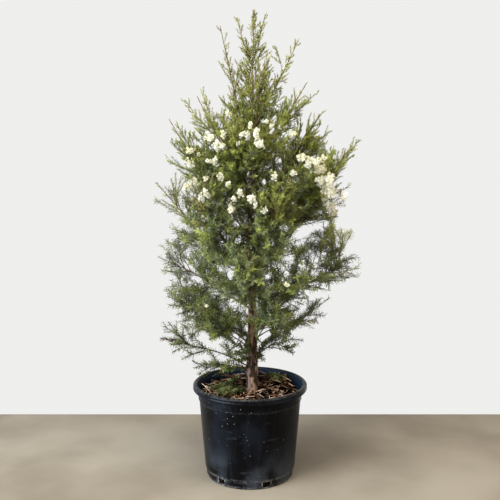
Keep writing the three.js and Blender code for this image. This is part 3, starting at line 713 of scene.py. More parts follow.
class Shoots:
    """Many shoots at once. Each is a quadratic curve from its foot to its tip, pulled towards its bend,
    with its radius at either end, how far it sways, and any further facts about it."""

    OWN = ("foot", "bend", "tip", "thick", "thin", "sway")

    def __init__(self, foot, bend, tip, thick, thin, sway, **facts):
        self.foot, self.bend, self.tip = (np.array(points, float) for points in (foot, bend, tip))
        count = len(self.foot)
        self.thick, self.thin, self.sway = (np.full(count, value, float) for value in (thick, thin, sway))
        self.facts = {name: np.broadcast_to(value, count) for name, value in facts.items()}

    def __len__(self):
        return len(self.foot)

    def __getitem__(self, which):
        own = [getattr(self, name)[which] for name in self.OWN]
        return Shoots(*own, **{name: value[which] for name, value in self.facts.items()})

    def joined(self, other):
        """These shoots, then the others."""
        own = [np.concatenate([getattr(self, name), getattr(other, name)]) for name in self.OWN]
        facts = {name: np.concatenate([value, other.facts[name]]) for name, value in self.facts.items()}
        return Shoots(*own, **facts)

    def at(self, which, t):
        """The place of t on shoots `which`, its heading, and two directions square to that. The curve is
        (1-t)² foot + 2t(1-t) bend + t² tip. It sways by sin(pi t) times a sine of t and its number, which
        is sin(9t + number) to the side and sin(7t + 2 number) upwards."""
        foot, bend, tip = self.foot[which], self.bend[which], self.tip[which]
        t = t[..., None]
        place = (1 - t) ** 2 * foot + 2 * t * (1 - t) * bend + t**2 * tip
        heading = unit((bend - foot) * (1 - t) + (tip - bend) * t)
        level, rise = crossways(heading)
        swing = np.sin(math.pi * t) * self.sway[which][..., None]
        number = which[..., None]
        place = place + swing * (level * np.sin(9 * t + number) + rise * np.sin(7 * t + 2 * number))
        return place, heading, level, rise

    def along(self, shares):
        """The same at every share of every shoot."""
        which = np.repeat(np.arange(len(self))[:, None], len(shares), 1)
        return self.at(which, np.broadcast_to(shares, which.shape))

    def numbered(self, bare, step, each=1):
        """Things that stand `each` at a time along shoots, every `step` from their bare share on.
        The shoot of each thing, its number there, and how many places that shoot has."""
        counts = np.maximum(((1 - bare) * self.lengths() / step).astype(int), 1)
        which = np.repeat(np.arange(len(self)), each * counts)
        order = np.arange(len(which)) - np.repeat(each * (np.cumsum(counts) - counts), each * counts)
        return which, order, counts[which]

    def leading(self):
        """Which of them lead: the openings leave those alone, and they may reach past the crown's
        outline."""
        return self.facts["extra"] > 0.5

    def lengths(self, steps=24):
        """Each curve's length, as the sum of its chords."""
        places = self.along(np.linspace(0, 1, steps + 1))[0]
        return np.linalg.norm(np.diff(places, axis=1), axis=-1).sum(1)


def arched(start, tip, arch):
    """The bend of a curve whose middle stands above the straight line by arch times its length."""
    return (start + tip) / 2 + UP * arch * np.linalg.norm(tip - start)


def plan_limbs():
    """Every limb's curve from the trunk's centre line to its tip, with its storey's sizes."""
    limbs = []
    for storey, bough, shoots, fan, leaf, tips in STOREYS:
        for number, (start, bearing, out, top, arch) in enumerate(tips, 1):
            turn = math.radians(bearing)
            foot = trunk_at(np.array(start * MM))[0]
            tip = MM * np.array([math.cos(turn) * out, math.sin(turn) * out, top])
            limbs.append(dict(
                name=f"{storey}_{number}", storey=storey, bough=bough, shoots=shoots, fan=fan * MM,
                leaf=leaf * MM, foot=foot, bend=arched(foot, tip, arch), tip=tip,
            ))
    foot = trunk_at(TRUNK[-1, 0])[0]
    limbs.append(dict(
        name="leader", storey="crown", bough=0, shoots=6, fan=96 * MM,
        leaf=40 * MM, foot=foot, bend=(foot + LEADER_TIP) / 2, tip=LEADER_TIP,
    ))
    return limbs


limbs = plan_limbs()
is_bough = np.array([limb["bough"] > 0 for limb in limbs])
stems = Shoots(
    *([limb[end] for limb in limbs] for end in ("foot", "bend", "tip")),
    STEM_RADIUS,
    TIP_RADIUS,
    np.where(is_bough, BOUGH_SWAY, 1.5 * MM),
)
stem_lengths = stems.lengths(200)


def shape_trunk(columns=72, rows=420):
    """The trunk's skin. Its radius is the frame's, fluted and flared, plus the bark's relief: plates from
    stepped noise, clefts where another noise passes through zero, fibres, a fuller part over the foot,
    and a swelling like a bell curve round the foot of each bough. Its marks say how dark each point is,
    which is painted shade in the clefts, on the lower plates and more at the foot, how peeled, and how
    young, which is partly painted light on the upper trunk."""
    share = np.linspace(0, 1, rows)
    heights = TRUNK[0, 0] + (TRUNK[-1, 0] + 3 * MM - TRUNK[0, 0]) * share**1.35
    turns = TURN * np.arange(columns) / columns
    centre, radius = trunk_at(heights)
    z, turn = np.meshgrid(heights, turns, indexing="ij")
    flute = 0.05 * np.cos(3 * turn + z / (90 * MM))
    flare = 0.06 * np.exp(-(z - TRUNK[0, 0]) / (16 * MM)) * np.cos(5 * turn + 1)
    twist = turn / TURN + 0.35 * z
    plates = rough(twist * 12, z / (34 * MM), 5, 12) + 0.6 * rough(twist * 22, z / (15 * MM), 6, 22)
    steps = np.floor(plates * 3) / 3 + smooth_share(plates * 3 % 1, 0, 0.3) / 3 - 0.5
    cleft = np.exp(-((rough(twist * 15, z / (48 * MM), 8, 15) / 0.24) ** 2))
    fibre = rough(twist * 48, z / (9 * MM), 9, 48)
    scale = np.clip(radius / (20 * MM), 0.22, 1)[:, None]
    full = smooth_share(z, 0.3, 0.33) * (1 - smooth_share(z, 0.4, 0.48))
    relief = MM * scale * (1.3 * steps - 2.4 * cleft + 0.35 * fibre + 1.9 * full)
    for limb in limbs:
        turn_of_limb = math.atan2(*(limb["tip"] - limb["foot"])[1::-1])
        size = 4.5 * MM + 0.3 * trunk_at(limb["foot"][2:])[1][0]
        aside = ((turn - turn_of_limb + math.pi) % TURN - math.pi) * radius[:, None] / size
        above = (z - limb["foot"][2] - 4 * MM) / (1.6 * size)
        relief = relief + 0.22 * size * np.exp(-(aside**2) - above**2)
    reach = radius[:, None] * (1 + flute + flare) + relief
    side = np.stack([np.cos(turn), np.sin(turn), np.zeros_like(turn)], -1)
    points = (centre[:, None] + side * reach[..., None]).reshape(-1, 3)
    points = np.concatenate([points, [centre[0], centre[-1]]])
    patches = rough(twist * 20, z / (18 * MM), 12, 20) + 0.5 * rough(twist * 36, z / (9 * MM), 13, 36)
    peeled = smooth_share(patches + 0.3 * np.cos(turn - PEELED_SIDE), 0.05, 0.4)
    peeled = peeled * (1 - smooth_share(z, 0.42, 0.55) * 0.8)
    # Painted shade: the clefts and the lower plates are marked dark, and more so at the foot.
    darker = 0.2 * (1 - smooth_share(z, 0.34, 0.43))
    dark = np.clip(cleft - 0.5 * steps + darker, 0, 1)
    # Partly painted light: the young mark's smoother orange tones also stand in for light on the upper
    # trunk, which the foliage shades.
    young = smooth_share(z, 0.55, 1.1)
    marks = {
        "cleft": np.append(dark, [0, 0]),
        "peeled": np.append(peeled, [0, 0]),
        "young": np.append(young, [1, 1]),
    }
    return points, [grid_faces(rows, columns).reshape(-1, 4), *end_fans(rows, columns)], marks


def tubes(shoots, sides, shares, relief=None):
    """Tapering tubes along shoots: rings of corners square to the heading at each share, closed at both
    ends by a point. `relief` is added to the radius of each ring's corners."""
    count, rings = len(shoots), len(shares)
    place, heading, level, rise = shoots.along(shares)
    radius = between((shoots.thick[:, None], shoots.thin[:, None]), shares)
    turn = TURN * np.arange(sides) / sides
    reach = radius[..., None]
    if relief:
        reach = reach + relief(shares, turn, radius)
    across = towards(level[:, :, None], rise[:, :, None], turn[:, None])
    corners = place[:, :, None] + across * reach[..., None]
    before = place[:, 0] - heading[:, 0] * radius[:, :1]
    beyond = place[:, -1] + heading[:, -1] * radius[:, -1:]
    points = np.concatenate([corners.reshape(count, -1, 3), np.stack([before, beyond], 1)], 1)
    kinds = (grid_faces(rings, sides), end_fans(rings, sides))
    return points.reshape(-1, 3), [repeated(faces, rings * sides + 2, count) for faces in kinds]


def bough_relief(shares, turn, radius):
    """A bough's bark: a collar that dies out from its foot by exp(-share), and noise along and round it."""
    number = np.arange(len(radius))[:, None, None]
    radius = radius[..., None]
    collar = 1.1 * np.exp(-shares / 0.05)[None, :, None] * radius
    wrinkles = rough(turn * 8 / TURN + number, shares[None, :, None] * 60 + 7 * number, 21)
    return 0.35 * collar + 0.16 * wrinkles * radius


def bark_finish(name, brown, deep, cream):
    """Papery bark: brown with dark clefts, painted near black as shade where the trunk marks them,
    orange-brown where it is young, partly as painted light, and peeled patches of pinkish cream."""
    finish = Finish(name, Specular_IOR_Level=0.1)
    strips = finish.grain(4 * MM, (1, 1, 7), 5)
    fine = finish.grain(1.6 * MM, (1, 1, 3), 4)
    bright = tuple(1.7 * channel for channel in brown)
    black = tuple(0.3 * channel for channel in deep)
    smooth = finish.mixed(finish.step(strips, 0.3, 0.7), (0.16, 0.1, 0.058), (0.3, 0.2, 0.12))
    colour = finish.layered(
        deep,
        (finish.step(strips, 0.32, 0.6), brown),
        (finish.step(fine, 0.55, 0.8) * 0.4, bright),
        (finish.mark("peeled") * finish.step(strips, 0.3, 0.55), cream),
        # Painted shade: near black over the clefts and the lower plates.
        (finish.step(finish.mark("cleft"), 0.3, 0.74) * 0.97, black),
        # Partly painted light: the smoother orange-brown of the young upper trunk.
        (finish.mark("young") * 0.8, smooth),
    )
    finish.wear(colour, fine * 0.2 + 0.72, strips * 0.7 + fine * 0.5, 1.1 * MM)
    return finish


trunk_points, trunk_faces, trunk_marks = shape_trunk()
trunk_finish = bark_finish("papery_bark", (0.36, 0.218, 0.128), (0.11, 0.062, 0.037), (0.21, 0.135, 0.11))
add_piece("trunk_bark", trunk_points, trunk_faces, trunk_finish, ["trunk"], trunk_marks)

bough_thick = BOUGH_FOOT[0] + BOUGH_FOOT[1] * stem_lengths
bough_thick = np.where(is_bough, bough_thick, 0.8 * trunk_at(stems.foot[:, 2])[1])
boughs = Shoots(stems.foot, stems.bend, stems.tip, bough_thick, TIP_RADIUS, stems.sway)
bough_shares = np.concatenate([np.linspace(0, 0.3, 36), np.linspace(0.32, 1, 30)])
bough_points, bough_faces = tubes(boughs, 8, bough_shares, bough_relief)
bough_finish = bark_finish("young_bark", (0.2, 0.115, 0.066), (0.08, 0.046, 0.028), (0.36, 0.27, 0.21))
bough_nodes = [f"bough_{limb['name']}" for limb in limbs if limb["bough"] > 0]
add_piece("bough_bark", bough_points, bough_faces, bough_finish, bough_nodes)


# Twigs. Each limb is a stem for side shoots that spiral round it, the frame's own and finer ones, and
# every shoot carries twiglets by the same rule. They keep inside the crown's outline and leave open the
# places where light comes through. Older twigs are brown, and the season's are thin, tan and olive.
SHOOT_LEAN = (1.1, 0.65)
SHOOT_SIZE = (1.1, 0.55)
SHOOT_PAST_STEM = 16 * MM
SHOOT_LIFT = 0.12
SHOOT_ARCH = -0.04
BARE_FOOT = 24 * MM
TWIG_RADIUS = 1.7 * MM
LOWEST_LEAF = POT_HEIGHT + 8 * MM
LINE_STEPS = 12

# The crown's outline: height, and how far out it is leafy on the left and on the right, as seen from the
# front.
OUTLINE = MM * np.array([
    [360, 110, 50], [404, 176, 60], [434, 196, 112], [464, 222, 138], [494, 290, 158], [552, 300, 196],
    [611, 284, 230], [669, 281, 262], [698, 284, 310], [740, 292, 356], [800, 280, 372],
    [850, 300, 330], [900, 268, 310], [984, 240, 304], [1030, 304, 318], [1080, 262, 318],
    [1124, 262, 330], [1170, 264, 356], [1215, 250, 276], [1263, 228, 230], [1300, 186, 212],
    [1345, 134, 188], [1372, 104, 160], [1400, 78, 122], [1454, 84, 146], [1508, 76, 152],
    [1545, 76, 76], [1588, 50, 50], [1620, 34, 46], [1650, 10, 24],
])
FRONT_DEPTH = 0.88

# Long shoots that stand out of the outline, and a few that fill it between the boughs: where their tips
# are.
LEADING = MM * np.array([
    [-224, -30, 1342], [-172, 20, 1382], [-292, 30, 1136], [-346, 90, 998], [-314, -30, 842],
    [-310, 10, 540], [-255, -50, 474], [226, 20, 1366], [238, -30, 1292], [276, 20, 1238],
    [378, -10, 1206], [356, 30, 1150], [344, -20, 1044], [326, 20, 988], [306, -30, 944],
    [354, 10, 868], [380, -20, 758], [372, 20, 726], [284, -20, 652], [242, 30, 562], [188, -40, 502],
    [-318, 0, 498], [-238, -60, 440], [-196, -70, 408], [-168, -30, 372], [-70, -20, 412],
    [152, -20, 452], [46, -40, 432], [-44, 10, 1616], [52, -5, 1630], [70, 316, 940], [-150, 230, 1120],
    [120, 215, 1200], [-130, 318, 790], [190, 210, 690], [20, 296, 650], [-120, -235, 1090],
    [140, -225, 880], [-170, -200, 660], [100, -150, 1150], [112, -60, 1176], [92, 40, 1160],
    [122, -100, 1112], [205, -110, 968], [165, -130, 962], [-246, -40, 1250], [-268, 10, 1196],
    [196, -30, 1340], [246, 0, 1262], [258, -40, 1212],
])

# Tips of sprays that rise beside the largest opening, from the long bough on the right.
RISING = MM * np.array([
    [240, -70, 884], [256, -30, 914], [272, -60, 936], [288, -20, 930], [318, -40, 900],
    [284, -70, 872], [330, 0, 876],
])

# Where the light comes through, seen from the front: across, height, half width, half height, and slope.
OPENINGS = MM * np.array([
    [198, 887, 50, 22, 28],
    [-186, 470, 20, 12, 4],
    [-48, 500, 24, 22, 0],
    [50, 520, 18, 30, 0],
    [102, 440, 36, 30, 0],
    [-75, 412, 44, 15, 0],
    [-66, 742, 12, 20, 8],
])

# How full the crown is: a height, and the level of noise above which there is a gap on the left and on
# the right.
AIRY = np.array([
    [0.36, 0.14, 0.16],
    [0.44, 0.1, 0.2],
    [0.5, 0.24, 0.56],
    [0.56, 0.52, 0.42],
    [0.64, 0.52, 0.28],
    [0.76, 0.46, 0.36],
    [0.88, 0.5, 0.56],
    [0.98, 0.58, 0.7],
    [1.1, 0.56, 0.66],
    [1.18, 0.52, 0.48],
    [1.3, 0.5, 0.46],
    [1.38, 0.5, 0.5],
    [1.66, 0.5, 0.5],
])

# Places where the foliage in front of the trunk is thin, so that it shows: height, half width and half
# height.
WINDOWS = MM * np.array([[1040, 17, 66], [920, 16, 48], [800, 14, 30], [560, 18, 26]])

# Heights in metres: the tree's top, the highest tips of the skirt, where its leaves give way to the
# crown's, where the small gaps start, and where the upper crown does.
TOP = 1.646
SKIRT_TOP = 0.52
SKIRT_FADES = (0.46, 0.56)
SOLID_BELOW = 0.53
UPPER_STARTS = (1.05, 1.25)


def linear_draws(seed):
    """The frame's own repeatable draws from 0 to 1: a linear congruential series."""
    state = seed
    while True:
        state = (state * 1664525 + 1013904223) % 2**32
        yield state / 2**32


def seen_from_front(points):
    """Where points stand across and up, on the upright plane through the trunk, seen from the camera's
    place."""
    scale = -EYE[1] / (points[..., 1] - EYE[1])
    return points[..., 0] * scale, EYE[2] + (points[..., 2] - EYE[2]) * scale


def in_opening(points, grow=1.0, solid_below=0.0):
    """Whether points are in an ellipse of sky, of ragged outline, or in one of the small gaps: those are
    where value noise is above a level, which is lower where the crown is airier, and higher round the trunk
    at two heights. There are no gaps below `solid_below`. The ellipses are `grow` times their size. Both
    may differ from point to point."""
    across, up = seen_from_front(points)
    ragged = 1 + 0.9 * rough(across / (19 * MM), up / (17 * MM), 52)
    ragged = np.maximum(ragged + 0.8 * rough(across / (8 * MM), up / (7 * MM), 54), 0.55)
    left, right = (np.interp(up, AIRY[:, 0], side) for side in AIRY.T[1:])
    airy = between((left, right), smooth_share(across, -60 * MM, 60 * MM))
    filled = smooth_share(up, 1.08, 1.2) * (1 - smooth_share(up, 1.32, 1.4))
    filled = filled + smooth_share(up, 0.5, 0.56) * (1 - smooth_share(up, 0.78, 0.86))
    airy = airy + 0.2 * filled * (1 - smooth_share(np.abs(across), 50 * MM, 150 * MM))
    fleck = 0.7 * rough(across / (21 * MM), up / (15 * MM), 51)
    fleck = fleck + 0.45 * rough(across / (9 * MM), up / (8 * MM), 53)
    flecked = (fleck > airy) & (up > solid_below)
    across, up, grow = across[..., None], up[..., None], np.asarray(grow)[..., None]
    x, z, wide, high, slope = OPENINGS.T
    dx = (across - x) / (wide * grow)
    dz = (up - z - slope * (across - x) / wide) / (high * grow)
    return (dx**2 + dz**2 < ragged[..., None]).any(-1) | flecked


def in_window(points, draws):
    """Whether points are in front of the trunk where it shows: three quarters of those in an ellipse."""
    across, up = (value[..., None] for value in seen_from_front(points))
    z, wide, high = WINDOWS.T
    before = ((across / wide) ** 2 + ((up - z) / high) ** 2 < 1).any(-1) & (points[..., 1] < -10 * MM)
    return before & (draws.random(before.shape) < 0.75)


def crown_reach(points):
    """How far out the crown's outline is at each point's height and bearing: between its left and right by
    (1 + cos bearing) / 2, and less to the front and back."""
    radius = np.hypot(points[..., 0], points[..., 1])
    cos = points[..., 0] / np.maximum(radius, 1e-6)
    left, right = (np.interp(points[..., 2], OUTLINE[:, 0], side) for side in OUTLINE.T[1:])
    return between((left, right), (1 + cos) / 2) * between((FRONT_DEPTH, 1), cos * cos)


stem_lines = stems.along(np.linspace(0, 1, LINE_STEPS + 1))[0]


def distances_to_stems(points):
    """The distance from each point to each stem's line: the least of those to the nearest place on each
    chord."""
    start, chord = stem_lines[:, :-1], np.diff(stem_lines, axis=1)
    from_start = points[:, None, None] - start
    share = np.clip((from_start * chord).sum(-1) / (chord * chord).sum(-1), 0, 1)
    return np.linalg.norm(from_start - share[..., None] * chord, axis=-1).min(-1)


def clear_of_trunk(points, spare=3 * MM):
    """Whether points are a little way outside the trunk, or over its tip."""
    centre, radius = trunk_at(points[..., 2])
    away = np.hypot(points[..., 0] - centre[..., 0], points[..., 1] - centre[..., 1])
    return (points[..., 2] > TRUNK[-1, 0] + 2 * MM) | (away > radius * 1.1 + spare)


def in_own_space(number, points):
    """Whether points are nearest to their own stem, and clear of the trunk and the pot."""
    distances = distances_to_stems(points)
    own = distances[:, number] + 6 * MM
    distances[:, number] = np.inf
    return (points[:, 2] >= LOWEST_LEAF) & clear_of_trunk(points) & (distances > own[:, None]).all(1)


FIT_SHARES = np.array([0.25, 0.4, 0.55, 0.7, 0.85, 1])


def fitted(number, start, tip, arch, shortest):
    """A shoot's tip and arch, cut short where it would leave its own space. Nothing if too little is
    left."""
    bend = arched(start, tip, arch)
    t = FIT_SHARES[:, None]
    places = (1 - t) ** 2 * start + 2 * t * (1 - t) * bend + t**2 * tip
    clear = in_own_space(number, places)
    if clear.all():
        return tip, arch
    blocked = int(np.argmin(clear))
    kept = FIT_SHARES[blocked - 1] if blocked else 0
    if kept * np.linalg.norm(tip - start) < shortest:
        return None
    return places[blocked - 1], arch * kept


def side_shoots(number, count, draw, first_turn, shortest, size=1.0, innermost=None, steeper=1.0):
    """The frame's rule for the side shoots of one stem: they spiral round it by the golden turn, leaning
    and lifting, and they are shorter towards its tip."""
    limb, length = limbs[number], stem_lengths[number]
    inner = innermost or limb["bough"] or 0.1
    grown = []
    for i in range(count):
        share = (i + 0.2 + 0.6 * next(draw)) / count
        t = inner + (0.94 - inner) * (0.05 + 0.9 * share)
        start, ahead, level, rise = (part[0] for part in stems.at(np.array([number]), np.array([t])))
        turn = first_turn + i * GOLDEN_TURN + 0.5 * next(draw)
        lean = between(SHOOT_LEAN, share) * steeper
        wanted = size * limb["fan"] * between(SHOOT_SIZE, share) * (0.85 + 0.3 * next(draw))
        reach = min(wanted, length * (1 - t) + SHOOT_PAST_STEM)
        aside = level * math.cos(turn) + rise * math.sin(turn)
        tip = start + reach * (ahead * math.cos(lean) + aside * math.sin(lean)) + UP * SHOOT_LIFT * reach
        found = fitted(number, start, tip, SHOOT_ARCH, shortest)
        if found:
            grown.append((start, arched(start, *found), found[0]))
    return grown


# Where the flowering shoots end: each group's place, its number of heads, 1 where it is going over, and
# their size.
BLOSSOMS = np.array([
    [-64, -162, 1283, 1, 1, 0.69], [53, -188, 1255, 1, 0, 0.62], [68, -193, 1244, 1, 0, 0.62],
    [13, -209, 1233, 2, 0, 0.88], [-26, -200, 1215, 2, 0, 0.9], [-8, -202, 1210, 1, 0, 0.82],
    [29, -248, 1190, 4, 0, 0.9], [-36, -205, 1189, 1, 0, 0.53], [-103, -189, 1186, 4, 0, 1.08],
    [-82, -188, 1216, 1, 1, 0.84], [-194, -130, 1172, 1, 1, 0.9], [-171, -154, 1155, 1, 1, 0.55],
    [-201, -122, 1124, 1, 0, 1.07], [-128, -181, 1125, 2, 0, 0.86], [-143, -174, 1078, 1, 1, 0.86],
    [-95, -197, 1077, 1, 0, 0.86], [-192, -156, 1058, 2, 1, 1.09], [-72, -218, 1058, 1, 0, 0.66],
    [-140, -205, 1029, 2, 0, 0.86], [-158, -188, 1007, 1, 0, 0.86], [-30, -234, 1031, 1, 0, 0.9],
    [-49, -232, 1014, 1, 0, 0.84], [-47, -214, 987, 2, 0, 0.84], [8, -244, 1013, 2, 0, 0.86],
    [14, -240, 990, 1, 0, 0.66], [47, -240, 972, 1, 0, 0.88], [75, -244, 1083, 1, 0, 0.95],
    [99, -185, 1241, 1, 0, 0.53], [142, -186, 1216, 1, 1, 0.69], [168, -227, 1142, 1, 1, 1.13],
    [193, -211, 1126, 4, 0, 0.96], [231, -188, 1138, 1, 1, 0.92], [215, -189, 1104, 2, 1, 0.9],
    [131, -236, 1099, 2, 0, 0.7], [244, -176, 1085, 6, 0, 1.1], [218, -179, 1069, 1, 0, 0.84],
    [232, -165, 1058, 1, 0, 0.75], [267, -121, 1057, 2, 1, 0.91], [251, -157, 1015, 4, 0, 1.07],
    [261, -131, 992, 4, 0, 1.13], [245, -156, 1036, 1, 1, 0.94], [310, -16, 1028, 1, 1, 0.8],
    [283, -51, 955, 1, 1, 1.15], [-147, -190, 659, 1, 1, 0.62], [120, -250, 740, 1, 1, 0.62],
])

# The groups at the back, which the photo doesn't show: their number, bearings, heights and distance out.
BACK_GROUPS = 11
BACK_BEARINGS = (28, 160)
BACK_HEIGHTS = (940, 1230)
BACK_REACH = (240, 204)


def blossom_places(draws):
    """Each head's foot, whether it is going over and its size, and each group's place. The heads of a
    group are scattered round it by normal draws, wider for a larger group. The groups at the back go up
    by the golden share."""
    groups = list(BLOSSOMS)
    for i in range(BACK_GROUPS):
        share = (i * GOLDEN_TURN / TURN) % 1
        turn = math.radians(between(BACK_BEARINGS, (i + 0.5) / BACK_GROUPS))
        height = between(BACK_HEIGHTS, share)
        out = between(BACK_REACH, share)
        groups.append((math.cos(turn) * out, math.sin(turn) * out, height, 3, i % 4 == 3, 1))
    x, y, z, heads, older, size = np.array(groups, float).T
    which = np.repeat(np.arange(len(groups)), heads.astype(int))
    spread = np.sqrt(np.maximum(heads[which, None] - 1, 0.1))
    scatter = draws.normal(0, 1, (len(which), 3)) * [9, 7, 8] * spread
    places = np.stack([x, y, z], -1)
    return MM * (places[which] + scatter), older[which] > 0, size[which], MM * places


def shoots_to(tips, back, stem=None):
    """Shoots that end at given places: each leaves the given stem, or the stem that is nearest to it,
    `back` metres of stem before the nearest place."""
    grown = []
    shares = np.linspace(0, 1, 101)
    for tip in tips:
        number = int(distances_to_stems(tip[None])[0].argmin()) if stem is None else stem
        places = stems.at(np.full(len(shares), number), shares)[0]
        nearest = shares[np.linalg.norm(places - tip, axis=1).argmin()]
        further = back * between((1, 1.5), smooth_share(tip[2], *UPPER_STARTS))
        t = np.array([np.clip(nearest - further / stem_lengths[number], 0.12, 0.95)])
        foot = stems.at(np.array([number]), t)[0][0]
        arch = between((0.16, SHOOT_ARCH), smooth_share(tip[2], 0.5, 0.6))
        grown.append((foot, arched(foot, tip, arch), tip))
    return grown


def trunk_shoots(heights, count, lengths, leans, first_turn, draws):
    """Shoots from the trunk itself, up it by the golden turn. Their length and lean change from low to
    high."""
    grown = []
    for i in range(count):
        share = (i + next(draws)) / count
        foot = trunk_at(np.array(between(heights, share)))[0]
        turn = first_turn + i * GOLDEN_TURN
        lean, reach = between(leans, share), between(lengths, share) * (0.7 + 0.5 * next(draws))
        side = np.array([math.cos(turn), math.sin(turn), 0])
        tip = foot + reach * (UP * math.cos(lean) + side * math.sin(lean))
        grown.append((foot, arched(foot, tip, -0.06), tip))
    return grown


blossom_draws = np.random.default_rng(41)
heads, older, head_sizes, groups = blossom_places(blossom_draws)
source_draws = linear_draws(7)
grown = []
for number, limb in enumerate(limbs):
    grown += side_shoots(number, limb["shoots"], source_draws, 0, BARE_FOOT + limb["leaf"])

# The finer side shoots in each storey: how many times the frame's number, how steep, and how long.
FINER = {
    "skirt": (0.45, 0.85, 1.0),
    "low": (2.0, 0.85, 1.15),
    "middle": (2.2, 0.8, 1.15),
    "bloom": (2.8, 0.7, 1.2),
    "upper": (3.8, 0.62, 1.3),
    "crown": (4.4, 0.58, 1.3),
    "spire": (2.0, 0.55, 1.0),
}
SPIRE = 1.42
finer_draws = linear_draws(29)
for number, limb in enumerate(limbs):
    more, steeper, size = FINER["spire" if limb["tip"][2] > SPIRE else limb["storey"]]
    count = round(limb["shoots"] * more)
    grown += side_shoots(number, count, finer_draws, 2.1, 34 * MM, size, 0.12, steeper)
grown += trunk_shoots((1.06, 1.39), 46, (170 * MM, 120 * MM), (0.75, 0.5), 1.0, finer_draws)
grown += trunk_shoots((0.72, 1.04), 16, (130 * MM, 150 * MM), (1.0, 0.8), 2.0, finer_draws)
grown += trunk_shoots((0.395, 0.5), 9, (55 * MM, 80 * MM), (0.7, 0.9), 3.3, finer_draws)
long_bough = [limb["name"] for limb in limbs].index("middle_2")
leading = shoots_to(LEADING, 110 * MM)
leading += shoots_to(RISING, 70 * MM, long_bough) + shoots_to(groups, 80 * MM)

# A shoot's facts: how many metres past the outline it may reach, which is one for those that lead, and
# the size of its twiglets.
extra = [0.0] * len(grown) + [1.0] * len(leading)
side = Shoots(*zip(*grown, *leading), TWIG_RADIUS, TIP_RADIUS, 2 * MM, extra=extra, scale=1.0)
side.facts["scale"] = between((1, 0.72), smooth_share(side.tip[:, 2], 1.22, SPIRE))
side.thick = side.thick * between((1, 0.6), smooth_share(side.foot[:, 2], 1.0, 1.4))


def trimmed(shoots, shortest, draws, spare):
    """Shoots cut back to the crown's outline and a spare length, from the first to the second value by a
    squared draw. Those with their tip, their middle or a place between the two in an opening are left out,
    and those in the trunk, in the pot, before a window or shorter than the shortest."""
    span = shoots.tip - shoots.foot
    spare = between(spare, draws.random(len(shoots)) ** 2)
    allowed = crown_reach(shoots.tip) + spare + shoots.facts["extra"]
    out = np.hypot(*shoots.tip.T[:2])
    from_foot = np.hypot(*shoots.foot.T[:2])
    past = np.clip((out - allowed) / np.maximum(out - from_foot, 1 * MM), 0, 1)
    past = np.where(out > allowed, past, 0)
    above = (shoots.tip[:, 2] - TOP) / np.maximum(span[:, 2], 1 * MM)
    keep_share = np.minimum(1 - past, 1 - np.clip(above, 0, 1))
    shoots.tip = shoots.foot + span * keep_share[:, None]
    shoots.bend = shoots.foot + (shoots.bend - shoots.foot) * keep_share[:, None]
    middle = (shoots.foot + 2 * shoots.bend + shoots.tip) / 4
    late = (shoots.foot + 6 * shoots.bend + 9 * shoots.tip) / 16
    in_sky = in_opening(shoots.tip) | in_opening(middle) | in_opening(late, 1, TOP)
    clear = ~in_sky | shoots.leading()
    clear &= ~in_window(middle, draws)
    clear &= clear_of_trunk(shoots.tip)
    clear &= (shoots.tip[:, 2] > LOWEST_LEAF) & (middle[:, 2] > LOWEST_LEAF)
    return shoots[clear & (np.linalg.norm(span, axis=1) * keep_share > shortest)]


def twiglets(parents, draws, step, lengths, leans, bare, lift):
    """Twiglets along shoots, one every `step`, the first value low down and the second at the top,
    spiralling by the golden turn: their lean and length fall from the first value at the parent's foot to
    the second at its tip. Where the parent leads, they may reach past the outline as far as it does."""
    step = between(step, smooth_share(parents.tip[:, 2], 0.95, 1.25))
    which, order, places = parents.numbered(bare, step)
    number = len(which)
    t = bare + (0.97 - bare) * (order + draws.uniform(0.1, 0.9, number)) / places
    foot, heading, level, rise = parents.at(which, t)
    turn = (order * GOLDEN_TURN + which * 1.7 + draws.uniform(-0.35, 0.35, number))[:, None]
    higher = smooth_share(foot[:, 2], 0.85, 1.2)
    lean = (between(leans, t) * between((1, 0.75), higher) + draws.uniform(-0.2, 0.2, number))[:, None]
    reach = between(lengths, t) * between((1, 0.66), higher) * parents.facts["scale"][which]
    reach = (reach * draws.uniform(0.5, 1.25, number))[:, None]
    way = towards(heading, towards(level, rise, turn), lean)
    tip = foot + reach * way + UP * lift * reach
    thickest = between((1.0 * MM, 0.7 * MM), smooth_share(foot[:, 2], 1.1, 1.5))
    thick = np.minimum(parents.thick[which] * 0.75, thickest)
    beyond = np.hypot(*foot.T[:2]) - crown_reach(tip) + between((36 * MM, 52 * MM), higher)
    facts = {name: value[which] for name, value in parents.facts.items()}
    facts["extra"] = np.where(parents.leading()[which], np.maximum(beyond, 0), facts["extra"])
    return Shoots(foot, foot + 0.5 * reach * way, tip, thick, 0.4 * MM, 1 * MM, **facts)


# The share of the twiglets that are kept, by height.
TWIG_HEIGHTS = MM * np.array([400, 500, 560, 1300, 1500])
TWIG_SHARES = np.array([0.1, 0.28, 0.88, 1, 0.85])
draws = np.random.default_rng(5)
side = trimmed(side, 30 * MM, draws, (-12 * MM, 30 * MM))
spires = stems.tip[:, 2] > SPIRE
stem_parents = Shoots(
    stems.foot, stems.bend, stems.tip, TWIG_RADIUS, TIP_RADIUS, stems.sway,
    extra=np.where(spires, 1.0, 24 * MM), scale=np.where(spires, 0.72, 1.0),
)
from_stems = twiglets(stem_parents, draws, (12 * MM, 8 * MM), (140 * MM, 50 * MM), (0.85, 0.6), 0.14, 0.06)
from_side = twiglets(side, draws, (15 * MM, 8.5 * MM), (120 * MM, 42 * MM), (0.8, 0.55), 0.1, 0.06)
fine = trimmed(from_stems.joined(from_side), 18 * MM, draws, (-40 * MM, 22 * MM))
fullness = np.interp(fine.tip[:, 2], TWIG_HEIGHTS, TWIG_SHARES)
fullness = fullness * between((0.95, 1.5), smooth_share(fine.tip[:, 1], 0, 100 * MM))
fine = fine[draws.random(len(fine)) < fullness]
